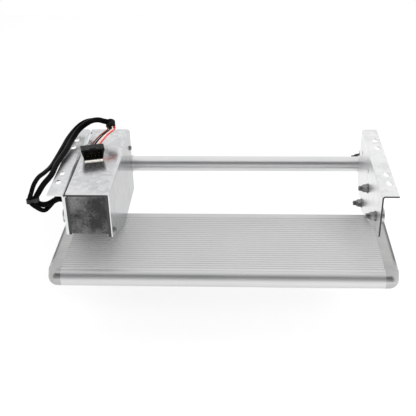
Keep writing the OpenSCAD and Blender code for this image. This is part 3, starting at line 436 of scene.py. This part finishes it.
def makeCables():
    made = {}
    for name, cable in cables.items():
        line = smoothRoute(cable["route"], cableDetail["steps"])
        build = bmesh.new()
        sweepTube(build, line, cable["diameter"] / 2 * mm, cableDetail["sides"])
        piece = makePiece(name, finishMesh(name, build), finishes["sheath"])
        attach(piece, "frame")
        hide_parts(cable["node"])
        made[name] = (piece, line)
    return made


# Shrink boot that gathers both cables and lets the single wires out
boot = {
    "from": (-193, 66, 185), "to": (-191, 55, 180), "radius": 8.0, "ribs": 4, "ribHeight": 0.7,
    "neck": 0.84, "swell": 0.08, "endSlope": 6, "rowsPerRib": 6, "sides": 28,
}


def makeBoot():
    start, end = Vector(boot["from"]) * mm, Vector(boot["to"]) * mm
    radius, ribs = boot["radius"] * mm, boot["ribs"]
    rows = boot["rowsPerRib"] * ribs
    line, radii = [], []
    for i in range(rows + 1):
        t = i / rows
        edge = min(1.0, boot["endSlope"] * t, boot["endSlope"] * (1 - t))
        wave = 0.5 - 0.5 * math.cos(math.tau * ribs * t)
        line.append(start.lerp(end, t))
        radii.append(radius * (boot["neck"] + boot["swell"] * math.sqrt(edge)) + boot["ribHeight"] * mm * wave)
    build = bmesh.new()
    sweepTube(build, line, radii, boot["sides"])
    piece = makePiece("harnessBoot", finishMesh("harnessBoot", build), finishes["rubber"])
    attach(piece, "frame")
    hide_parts("harness_boot")
    return piece


# A rectangle's outline with rounded corners, which may be narrower at its bottom
def roundedOutline(halfTop, halfBottom, low, high, radius, steps=4):
    corners = ((halfBottom, low, -90), (halfTop, high, 0), (-halfTop, high, 90), (-halfBottom, low, 180))
    points = []
    for x, z, start in corners:
        cx, cz = x - math.copysign(radius, x), z + (radius if z == low else -radius)
        for s in range(steps + 1):
            angle = math.radians(start + 90 * s / steps)
            points.append((cx + radius * math.cos(angle), cz + radius * math.sin(angle)))
    return points


# Joins outlines, each at its own depth y, into one shell with closed ends, at a place across
def loftMesh(build, sections, index=0, across=0.0):
    loops = [[build.verts.new(((across + x) * mm, y * mm, z * mm)) for x, z in outline]
             for y, outline in sections]
    walls, ends = joinLoops(build, loops)
    for face in walls + ends:
        face.material_index = index
    return [vertex for loop in loops for vertex in loop]


# Multi-way connector: tapered shell with an open mouth, contacts, wire seals, grip ribs and a latch
connector = {
    "place": (-213, -5, 152), "turn": 15, "width": 38.0, "depth": 26.0, "height": 21.0, "taper": 4.0,
    # The shell from the rear neck, over the front, into the mouth: an end, the way in from it, how far the
    # top, the bottom, the low edge and the high edge lie inside the full outline, and the corner radius
    "shell": (
        ("rear", 0.0, 6.0, 5.0, 2.5, 3.5, 1.5), ("rear", 6.0, 6.0, 5.0, 2.5, 3.5, 1.5),
        ("rear", 7.0, 1.0, 1.0, 0.6, 0.6, 1.5), ("rear", 8.0, 0.0, 0.0, 0.0, 0.0, 1.5),
        ("front", 4.0, 0.0, 0.0, 0.0, 0.0, 1.5), ("front", 3.4, 0.0, -0.4, 2.2, 0.0, 1.5),
        ("front", 0.5, 0.0, -0.4, 2.2, 0.0, 1.5), ("front", 0.0, 0.5, 0.0, 2.7, 0.5, 1.2),
        ("front", 0.0, 4.6, 0.6, 3.6, 2.6, 1.0), ("front", 0.6, 5.0, 1.0, 4.0, 3.0, 0.8),
        ("front", 12.0, 5.0, 1.0, 4.0, 3.0, 0.8),
    ),
    # A contact: way in from the front, half width, half height and corner radius
    "contact": ((12.5, 0.9, 0.4, 0.2), (4.0, 0.9, 0.4, 0.2), (3.2, 0.5, 0.2, 0.1)), "contactSteps": 1,
    "contactsAcross": (-9, -3, 3, 9), "contactsUp": (7.5, 12.5),
    "sealRadius": 1.9, "sealIn": 1.0, "sealOut": 1.6,
    "ribsAcross": (-15, -12.4, 12.4, 15), "ribFront": 5, "ribRear": 9, "ribHalf": 0.6, "ribRise": 0.5,
    "ribCorner": 0.3, "ribSteps": 2,
    # The latch: way in from the front, height above the top and corner radius
    "latch": ((2, 0.9, 0.5), (9, 1.1, 0.5), (10, 0.2, 0.3)), "latchHalf": 5, "latchSink": 0.6,
}


def makeConnector():
    c = connector
    top, bottom, height = c["width"] / 2, c["width"] / 2 - c["taper"], c["height"]
    front, rear, middle = -c["depth"] / 2, c["depth"] / 2, c["height"] / 2
    build = bmesh.new()
    loftMesh(build, [
        (rear - way if end == "rear" else front + way,
         roundedOutline(top - topIn, bottom - bottomIn, lowIn, height - highIn, corner))
        for end, way, topIn, bottomIn, lowIn, highIn, corner in c["shell"]])
    for x in c["contactsAcross"]:
        for z in c["contactsUp"]:
            loftMesh(build, [
                (front + way, roundedOutline(half, half, z - rise, z + rise, corner, c["contactSteps"]))
                for way, half, rise, corner in c["contact"]], index=1, across=x)
    seal = c["sealRadius"]
    outline = roundedOutline(seal, seal, middle - seal, middle + seal, seal)
    for x in wires["places"]:  # wire seals at the rear
        loftMesh(build, [(rear - c["sealIn"], outline), (rear + c["sealOut"], outline)], across=x)
    half, rise = c["ribHalf"], c["ribRise"]
    outline = roundedOutline(half, half, height - rise, height + rise, c["ribCorner"], c["ribSteps"])
    for x in c["ribsAcross"]:  # grip ribs on the top
        loftMesh(build, [(front + c["ribFront"], outline), (rear - c["ribRear"], outline)], across=x)
    half, low = c["latchHalf"], height - c["latchSink"]
    loftMesh(build, [(front + way, roundedOutline(half, half, low, height + rise, corner))
                     for way, rise, corner in c["latch"]])
    mesh = finishMesh("connectorHousing", build)
    turn = Matrix.Rotation(math.radians(c["turn"]), 4, "Z")
    mesh.transform(Matrix.Translation(Vector(c["place"]) * mm) @ turn)
    mesh.materials.append(finishes["plastic"])
    mesh.materials.append(finishes["bronze"])
    piece = makePiece("connectorHousing", mesh)
    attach(piece, "frame")
    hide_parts("connector_housing")
    return piece


# Single wires from the boot to the connector
wires = {
    "radius": 1.2, "spacing": 4.0, "sink": 2.0, "run": 8.0, "lift": 2.5, "places": (14, 9.5, 5, 0.5),
    "finishes": ("redWire", "whiteWire", "blackWire", "brownWire"), "steps": 8, "sides": 12,
}


# A wire's line from its place in the boot to its seal in the connector
def wireLine(i):
    start, end = Vector(boot["from"]), Vector(boot["to"])
    ahead = (end - start).normalized()
    side = ahead.cross(Vector((0, 0, 1))).normalized()
    turn = math.radians(connector["turn"])
    across = Vector((math.cos(turn), math.sin(turn), 0))
    back = Vector((-across.y, across.x, 0))
    middle = (len(wires["places"]) - 1) / 2
    first = end - wires["sink"] * ahead + wires["spacing"] * (i - middle) * side
    lift = Vector((0, 0, wires["lift"]))
    last = (Vector(connector["place"]) + Vector((0, 0, connector["height"] / 2)) + wires["places"][i] * across
            + (connector["depth"] / 2 - wires["sink"] / 2) * back)
    route = [first, first + wires["run"] * ahead, (first + last) / 2 + lift,
             last + wires["run"] * back + lift, last]
    return smoothRoute(route, wires["steps"])


def makeWires():
    made = []
    for i, finish in enumerate(wires["finishes"]):
        line = wireLine(i)
        build = bmesh.new()
        sweepTube(build, line, wires["radius"] * mm, wires["sides"])
        piece = makePiece(finish, finishMesh(finish, build), finishes[finish])
        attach(piece, "frame")
        made.append((piece, line))
    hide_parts("lead_wires")
    return made


cableMade = makeCables()
bootPiece = makeBoot()
wireMade = makeWires()
print("cables laid:", {name: round(lineLength(line), 3) for name, (piece, line) in cableMade.items()})

# M8 fixings of the pivots, and the smaller screws
fixing = {
    "scale": 1.0, "sides": 48, "sharpAngle": 28,
    "flats": 13.0, "hexHeight": 5.8, "bore": 4.0, "chamfer": 0.577, "nutFace": 0.96,
    "collarRadius": 5.6, "collarHeight": 2.2, "collarEdge": 0.8, "collarRound": 0.25,
    "lipWidth": 0.4, "lipDepth": 0.5,
    "washerRadius": 8.0, "washerHeight": 1.6, "washerEdge": 0.2, "washerRound": 0.35,
    "threadRadius": 4.25, "threadRoot": 3.85, "threadPitch": 1.25, "threadEnd": 5.0, "threadStop": 0.2,
    "tipTaper": 0.7, "tipLength": 0.3,
    "boltHead": 5.0, "boltShank": 5.0, "boltTip": 0.6, "boltEdge": 0.3,
    "headFace": 0.94, "dishRadius": 0.5, "dishDepth": 0.25,
    "rim": ((1.0, 0.0), (1.0, 0.55), (0.94, 0.82), (0.8, 1.0)),  # shares of a socket head's radius and height
    "socketEdge": 0.15, "pointRadius": 0.3, "pointDepth": 0.2,
}
screwHeads = {  # radius, height, socket and its depth
    "cover": (4.0, 3.0, 3.0, 1.6), "tube": (7.0, 3.0, 5.0, 1.8), "cap": (4.0, 2.5, 3.0, 1.5),
}


# Joins rings round the z axis into one shape. A ring is a radius and a height, or gives them by the angle
def turnedMesh(name, rings, sides, around=False):
    build = bmesh.new()
    loops = []
    for ring in rings:
        loop = []
        for k in range(sides):
            angle = math.tau * k / sides
            radius, height = ring(angle) if callable(ring) else ring
            x, y = radius * mm * math.cos(angle), radius * mm * math.sin(angle)
            loop.append(build.verts.new((x, y, height * mm)))
        loops.append(loop)
    joinLoops(build, loops, around)
    for face in build.faces:
        face.smooth = True
    mesh = finishMesh(name, build)
    mesh.set_sharp_from_angle(angle=math.radians(fixing["sharpAngle"]))
    return mesh


# The radius of a hexagon at an angle
def hexRadius(flats, angle):
    return flats / 2 / math.cos((angle % (math.pi / 3)) - math.pi / 6)


# Nylon-insert lock nut with chamfered corners and a rolled collar
def nutMesh():
    flats, height, bore, slope = fixing["flats"], fixing["hexHeight"], fixing["bore"], fixing["chamfer"]
    collar, edge, bend = fixing["collarRadius"], fixing["collarEdge"], fixing["collarRound"]
    face, top = flats / 2 * fixing["nutFace"], height + fixing["collarHeight"]
    return turnedMesh("lockNut", [
        (bore, 0.0), (face, 0.0),
        lambda a: (hexRadius(flats, a), (hexRadius(flats, a) - face) * slope),
        lambda a: (hexRadius(flats, a), height - (hexRadius(flats, a) - face) * slope),
        (face, height), (collar, height), (collar, top - edge), (collar - bend, top - bend),
        (collar - edge, top), (bore + fixing["lipWidth"], top), (bore, top - fixing["lipDepth"]),
    ], fixing["sides"], around=True)


def washerMesh():
    radius, height, bore = fixing["washerRadius"], fixing["washerHeight"], fixing["bore"]
    edge, bend = fixing["washerEdge"], fixing["washerRound"]
    return turnedMesh("flatWasher", [
        (bore, 0.0), (radius - edge, 0.0), (radius, edge), (radius, height - bend), (radius - bend, height),
        (bore + edge, height),
    ], fixing["sides"], around=True)


def threadMesh():
    crest, root = fixing["threadRadius"], fixing["threadRoot"]
    pitch, length = fixing["threadPitch"], fixing["threadEnd"]
    rings = [(root, 0.0)]
    height = pitch / 2
    while height < length - pitch / 2:
        rings += [(crest, height), (root, height + pitch / 2)]
        height += pitch
    rings += [(root, length - fixing["threadStop"]), (root - fixing["tipTaper"], length + fixing["tipLength"])]
    return turnedMesh("threadEnd", rings, fixing["sides"] // 2)


# Low head with a rounded rim and a hexagon socket
def socketHeadMesh(radius, height, socket, depth):
    edge, floor = fixing["socketEdge"], height - depth
    return turnedMesh("socketHead", [(radius * out, height * up) for out, up in fixing["rim"]] + [
        lambda a: (hexRadius(socket, a) + edge, height), lambda a: (hexRadius(socket, a), height - edge),
        lambda a: (hexRadius(socket, a), floor), (fixing["pointRadius"], floor - fixing["pointDepth"]),
    ], fixing["sides"])


# Hexagon bolt through the carrier and the arm, seen from its head
def linkBoltMesh(threadFrom, threadTo):
    flats, height, slope = fixing["flats"], fixing["boltHead"], fixing["chamfer"]
    bore, shank, tip, edge = fixing["bore"], fixing["boltShank"], fixing["boltTip"], fixing["boltEdge"]
    half = flats / 2
    face = half * fixing["headFace"]
    return turnedMesh("linkBolt", [
        (bore - tip, -threadTo), (bore, -threadTo + tip), (bore, -threadFrom), (shank, -threadFrom),
        (shank, 0.0), (half * fixing["nutFace"], 0.0), lambda a: (hexRadius(flats, a), edge),
        lambda a: (hexRadius(flats, a), height - (hexRadius(flats, a) - face) * slope),
        (face, height), (half * fixing["dishRadius"], height - fixing["dishDepth"]),
    ], fixing["sides"])


# Geometry Nodes tree that sets one fixing on each point, along the point's own direction
def fixingTree():
    tree = bpy.data.node_groups.new("fixingsOnPoints", "GeometryNodeTree")
    for socket, kind in (("Geometry", "NodeSocketGeometry"), ("Piece", "NodeSocketObject"),
                         ("Size", "NodeSocketFloat"), ("Finish", "NodeSocketMaterial")):
        tree.interface.new_socket(socket, in_out="INPUT", socket_type=kind)
    tree.interface.new_socket("Geometry", in_out="OUTPUT", socket_type="NodeSocketGeometry")
    given = addNode(tree, "NodeGroupInput")
    shape = addNode(tree, "GeometryNodeObjectInfo", None, {"Object": given.outputs["Piece"]})
    aim = addNode(tree, "GeometryNodeInputNamedAttribute", {"data_type": "FLOAT_VECTOR", "Name": "aim"})
    turn = addNode(tree, "FunctionNodeAlignRotationToVector", {"axis": "Z"}, {"Vector": aim.outputs[0]})
    placed = addNode(tree, "GeometryNodeInstanceOnPoints", None, {
        "Points": given.outputs["Geometry"], "Instance": shape.outputs["Geometry"],
        "Rotation": turn.outputs[0], "Scale": given.outputs["Size"]})
    real = addNode(tree, "GeometryNodeRealizeInstances", None, {"Geometry": placed.outputs[0]})
    coated = addNode(tree, "GeometryNodeSetMaterial", None,
                     {"Geometry": real.outputs[0], "Material": given.outputs["Finish"]})
    addNode(tree, "NodeGroupOutput", None, {"Geometry": coated.outputs[0]})
    return tree


fixingsOnPoints = fixingTree()


# Runs the tree on a row of places, each (point, direction) in mm, and keeps the result as a plain mesh
def placeFixings(name, body, shapeMesh, places, finish, replaced=()):
    points = bpy.data.meshes.new(name + "Points")
    points.from_pydata([Vector(p) * mm for p, _ in places], [], [])
    aim = points.attributes.new("aim", "FLOAT_VECTOR", "POINT")
    for i, (_, direction) in enumerate(places):
        aim.data[i].vector = direction
    shape = bpy.data.objects.new(name + "Shape", shapeMesh)
    holder = bpy.data.objects.new(name + "Points", points)
    scene.collection.objects.link(shape)
    scene.collection.objects.link(holder)
    modifier = holder.modifiers.new("fixings", "NODES")
    modifier.node_group = fixingsOnPoints
    values = {"Piece": shape, "Size": fixing["scale"], "Finish": finishes[finish]}
    for item in fixingsOnPoints.interface.items_tree:
        if item.in_out == "INPUT" and item.name in values:
            modifier[item.identifier] = values[item.name]
    evaluated = holder.evaluated_get(bpy.context.evaluated_depsgraph_get())
    mesh = bpy.data.meshes.new_from_object(evaluated)
    mesh.name = name
    bpy.data.objects.remove(holder)
    bpy.data.objects.remove(shape)
    piece = makePiece(name, mesh, finishes[finish])
    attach(piece, body)
    if replaced:
        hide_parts(*replaced)


# Places of the fixings, in mm, as the CAD has them
frontPivot, rearPivot = (-91.187, 96.0), (-3.187, 96.0)
footBolt, tubeEnd = (41.813, 42.0), (116.687, 79.398)
rearLink, frontLink = (146.687, 77.598), (58.687, 77.598)
layer = {
    "web": 237.0, "webOut": 239.5, "axleFace": 236.7, "linkFace": 243.7, "carrierOut": 254.5, "cover": -168.0,
    "capSeat": 269.5,
}
coverScrewPlaces = ((-110.687, 81.0), (92.813, 122.0))
capScrewPlaces = ((-123.812, 15.0), (-40.312, 15.0))


# A place on both sides, at the distance x from the middle, that points inwards or outwards
def bothSides(place, x, outwards):
    return [((side * x, *place), (side * outwards, 0, 0)) for side in (-1, 1)]


# The right side alone, as the left front pivot is the motor's shaft
def onRight(places):
    return [place for place in places if place[0][0] > 0]


def makeFixings():
    washer = fixing["washerHeight"]
    nutTop = washer + fixing["hexHeight"] + fixing["collarHeight"]
    nut, flat, thread = nutMesh(), washerMesh(), threadMesh()
    rows = (
        ("doubler", "frame", footBolt, layer["web"], list, "zinc", ("doubler_nuts",)),
        ("frontAxle", "front_arms", frontPivot, layer["axleFace"], onRight, "zinc",
         ("front_axle_nut", "front_axle_washer")),
        ("rearAxle", "rear_arms", rearPivot, layer["axleFace"], list, "zinc",
         ("rear_axle_nuts", "rear_axle_washers")),
        # the rear link's nuts and washers take the darker thread steel, unlike the other zinc nuts
        ("rearLink", "tread", rearLink, layer["linkFace"], list, "thread", ("link_nuts",)),
    )
    for name, body, place, x, pick, finish, replaced in rows:
        placeFixings(name + "Washers", body, flat, pick(bothSides(place, x, -1)), finish)
        placeFixings(name + "Nuts", body, nut, pick(bothSides(place, x - washer, -1)), finish, replaced)
        placeFixings(name + "Threads", body, thread, pick(bothSides(place, x - nutTop, -1)), "thread")
    placeFixings("frontLinkNuts", "tread", nut, bothSides(frontLink, layer["carrierOut"], 1), "zinc")
    grip = layer["carrierOut"] - layer["linkFace"]
    placeFixings("rearLinkBolts", "tread", linkBoltMesh(grip, grip + nutTop),
                 bothSides(rearLink, layer["carrierOut"], 1), "zinc", ("rear_link_bolts",))
    placeFixings("coverScrewHeads", "frame", socketHeadMesh(*screwHeads["cover"]),
                 [((layer["cover"], *p), (1, 0, 0)) for p in coverScrewPlaces], "zinc", ("cover_screws",))
    placeFixings("tubeScrewHeads", "frame", socketHeadMesh(*screwHeads["tube"]),
                 bothSides(tubeEnd, layer["webOut"], 1), "zinc", ("tube_screws",))
    placeFixings("capScrewHeads", "tread", socketHeadMesh(*screwHeads["cap"]),
                 [place for p in capScrewPlaces for place in bothSides(p, layer["capSeat"], 1)], "zinc",
                 ("cap_screws",))


makeFixings()
print("fixings placed")

connectorPiece = makeConnector()
print("connector made")

# Cable tie: a flat band round both cables with its head
tie = {
    "at": 7, "gap": 0.3, "thickness": 1.3, "width": 7.0, "bevel": 0.3,
    "roundSteps": 64, "sides": 72, "weld": 0.01,
    "head": 5.2, "headShare": 0.9, "headCorner": 0.8, "headSteps": 3, "headOut": 1.0,
    "headRows": ((-1.8, 1.0), (1.2, 1.0), (1.8, 0.8)),  # the way out and the share of the outline
}


def makeTie():
    motor, switch = cables["motorCable"], cables["switchCable"]
    angles = [math.tau * k / tie["roundSteps"] for k in range(tie["roundSteps"])]
    rims = []
    for margin in (tie["gap"], tie["gap"] + tie["thickness"]):
        rim = []
        for cable in (motor, switch):
            x, y, _ = cable["route"][tie["at"]]
            radius = cable["diameter"] / 2 + margin
            rim += [(x + radius * math.cos(angle), y + radius * math.sin(angle)) for angle in angles]
        rims.append(rim)
    height = motor["route"][tie["at"]][2]
    a, b = (Vector(cable["route"][tie["at"]][:2]) for cable in (motor, switch))
    along = (b - a).normalized()
    across = Vector((-along.y, along.x))

    def rimPoint(rim, angle):  # furthest point of the loop in a direction
        way = math.cos(angle) * along + math.sin(angle) * across
        return max(rim, key=lambda p: p[0] * way.x + p[1] * way.y)

    build = bmesh.new()
    sides, half, bevel = tie["sides"], tie["width"] / 2, tie["bevel"]
    loops = []
    for rim, z in ((0, -half), (0, half), (1, half - bevel), (1, bevel - half)):
        loops.append([build.verts.new((*(c * mm for c in rimPoint(rims[rim], math.tau * k / sides)),
                                       (height + z) * mm)) for k in range(sides)])
    joinLoops(build, loops, around=True)
    bmesh.ops.remove_doubles(build, verts=build.verts[:], dist=tie["weld"] * mm)
    reach = max(motor["diameter"], switch["diameter"]) / 2 + tie["gap"] + tie["thickness"] + tie["headOut"]
    mid = (a + b) / 2 - across * reach
    head, tall = tie["head"] / 2, tie["head"] / 2 * tie["headShare"]
    outline = roundedOutline(head, head, -tall, tall, tie["headCorner"], tie["headSteps"])
    made = loftMesh(build, [(y, [(x * share, z * share) for x, z in outline]) for y, share in tie["headRows"]])
    turn = Matrix.Rotation(math.atan2(-across.y, -across.x) - math.pi / 2, 4, "Z")
    move = Matrix.Translation(Vector((mid.x, mid.y, height)) * mm)
    bmesh.ops.transform(build, matrix=move @ turn, verts=made)
    piece = makePiece("cableTie", finishMesh("cableTie", build), finishes["tie"])
    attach(piece, "frame")
    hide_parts("cable_tie")
    return piece


tiePiece = makeTie()
print("cable tie made")

# The CAD nodes that stay, by finish
nodeFinishes = {
    "leftSheet": ("left_bracket",),
    "rightSheet": ("right_bracket",),
    "cover": ("motor_cover",),
    "dark": ("front_plate",),
    "arm": ("left_doubler", "right_doubler", "front_arm_left", "front_arm_right",
            "rear_arm_left", "rear_arm_right", "carrier_left", "carrier_right"),
    "tube": ("cross_tube",),
    "deck": ("tread_deck",),
    "cap": ("end_cap_left", "end_cap_right"),
    "zinc": ("tube_plugs", "doubler_screws", "stop_studs", "cover_spacers", "lid_screws",
             "gearbox_mount_screws", "motor_can", "worm_shaft", "output_shaft", "front_axle", "rear_axles",
             "carrier_screws", "front_link_pins"),
    "bronze": ("pivot_bushes", "shaft_bearings", "worm_wheel"),
    "copper": ("armature", "commutator"),
    "cast": ("gearbox_housing", "gearbox_lid"),
    "ferrite": ("motor_magnets",),
    "plastic": ("brush_cap",),
    "sheath": ("motor_leads",),
    "rubber": ("cable_grommet", "stop_buffers"),
    # the connector lock's pale nylon is a painted highlight along the connector's bottom edge
    "nylon": ("link_washers", "connector_lock"),
}
for finish, names in nodeFinishes.items():
    for name in names:
        nodes[name].data.materials.clear()
        nodes[name].data.materials.append(finishes[finish])
print("finishes on the CAD nodes")

# Studio, in metres and watts: a pale floor at the height of the lowered tread, a soft box overhead, a front
# light, and two screens that only metal sees
white = toLinear("#ffffff")
studio = {
    "floor": "#b8b8b8", "floorRough": 0.9, "floorGlow": 0.54, "floorSize": 3.6, "floorLevel": -0.136,
    "screens": ((0.2, 1.6, "#a6a6a8"), (1.6, 4.4, "#444446")),  # low edge, high edge and colour
    "screenRough": 0.95, "screenY": -2.4, "screenHalf": 3.0,
    "overhead": 10.0, "overheadSize": 2.4, "overheadPlace": (-0.1, 0.3, 2.2),
    "front": 52.0, "frontSize": 1.6, "frontPlace": (0.9, -2.0, 1.2),
    "worldLight": 0.78, "worldSeen": 1.0,
}


# One for a ray seen straight on, in a mirror or through something clear, and nought for one that only lights
def seenRays(tree):
    rays = addNode(tree, "ShaderNodeLightPath").outputs
    direct = addNode(tree, "ShaderNodeMath", {"operation": "MAXIMUM"},
                     {0: rays["Is Camera Ray"], 1: rays["Is Glossy Ray"]})
    return addNode(tree, "ShaderNodeMath", {"operation": "MAXIMUM"},
                   {0: direct.outputs[0], 1: rays["Is Transmission Ray"]}).outputs[0]


def makeFloor():
    build = bmesh.new()
    level = Matrix.Translation((0, 0, studio["floorLevel"]))
    bmesh.ops.create_grid(build, x_segments=1, y_segments=1, size=studio["floorSize"] / 2, matrix=level)
    floor = makePiece("studioFloor", finishMesh("studioFloor", build))
    material, tree, shader, _ = startMaterial("studioPaper", {
        "Base Color": toLinear(studio["floor"]), "Roughness": studio["floorRough"], "Specular IOR Level": 0.0,
        "Emission Color": white})
    glow = addNode(tree, "ShaderNodeMath", {"operation": "MULTIPLY", 1: studio["floorGlow"]},
                   {0: seenRays(tree)})
    tree.links.new(glow.outputs[0], shader.inputs["Emission Strength"])
    below = addNode(tree, "ShaderNodeNewGeometry").outputs["Backfacing"]  # clear from below
    clear = addNode(tree, "ShaderNodeBsdfTransparent")
    paper = addNode(tree, "ShaderNodeMixShader", None, {0: below, 1: shader.outputs[0], 2: clear.outputs[0]})
    tree.links.new(paper.outputs[0], tree.nodes["Material Output"].inputs["Surface"])
    floor.data.materials.append(material)


def makeScreens():
    for i, (low, high, colour) in enumerate(studio["screens"]):
        build = bmesh.new()
        build.faces.new([build.verts.new((side * studio["screenHalf"], studio["screenY"], z))
                         for side, z in ((-1, low), (1, low), (1, high), (-1, high))])
        screen = makePiece(f"studioScreen{i}", finishMesh(f"studioScreen{i}", build))
        material, *_ = startMaterial(f"studioCloth{i}", {
            "Base Color": toLinear(colour), "Roughness": studio["screenRough"], "Specular IOR Level": 0.0})
        screen.data.materials.append(material)
        screen.visible_camera = screen.visible_diffuse = screen.visible_shadow = False


def makeLamps():
    for name in ("overhead", "front"):
        data = bpy.data.lights.new(name + "Light", "AREA")
        data.energy, data.size = studio[name], studio[name + "Size"]
        lamp = bpy.data.objects.new(name + "Light", data)
        lamp.location = studio[name + "Place"]
        lamp.visible_glossy = False
        lamp.rotation_euler = (-Vector(studio[name + "Place"])).to_track_quat("-Z", "Y").to_euler()
        scene.collection.objects.link(lamp)


# White behind the part, and a weaker white that lights it
def makeWorld():
    world = bpy.data.worlds.new("studioWorld")
    scene.world = world
    world.use_nodes = True
    tree = world.node_tree
    tree.nodes.clear()
    light, seen = (addNode(tree, "ShaderNodeBackground", {"Color": white, "Strength": studio[key]}).outputs[0]
                   for key in ("worldLight", "worldSeen"))
    either = addNode(tree, "ShaderNodeMixShader", None, {0: seenRays(tree), 1: light, 2: seen})
    addNode(tree, "ShaderNodeOutputWorld", None, {"Surface": either.outputs[0]})


makeFloor()
makeScreens()
makeLamps()
makeWorld()
scene.view_settings.view_transform = "Standard"
print("studio lit")
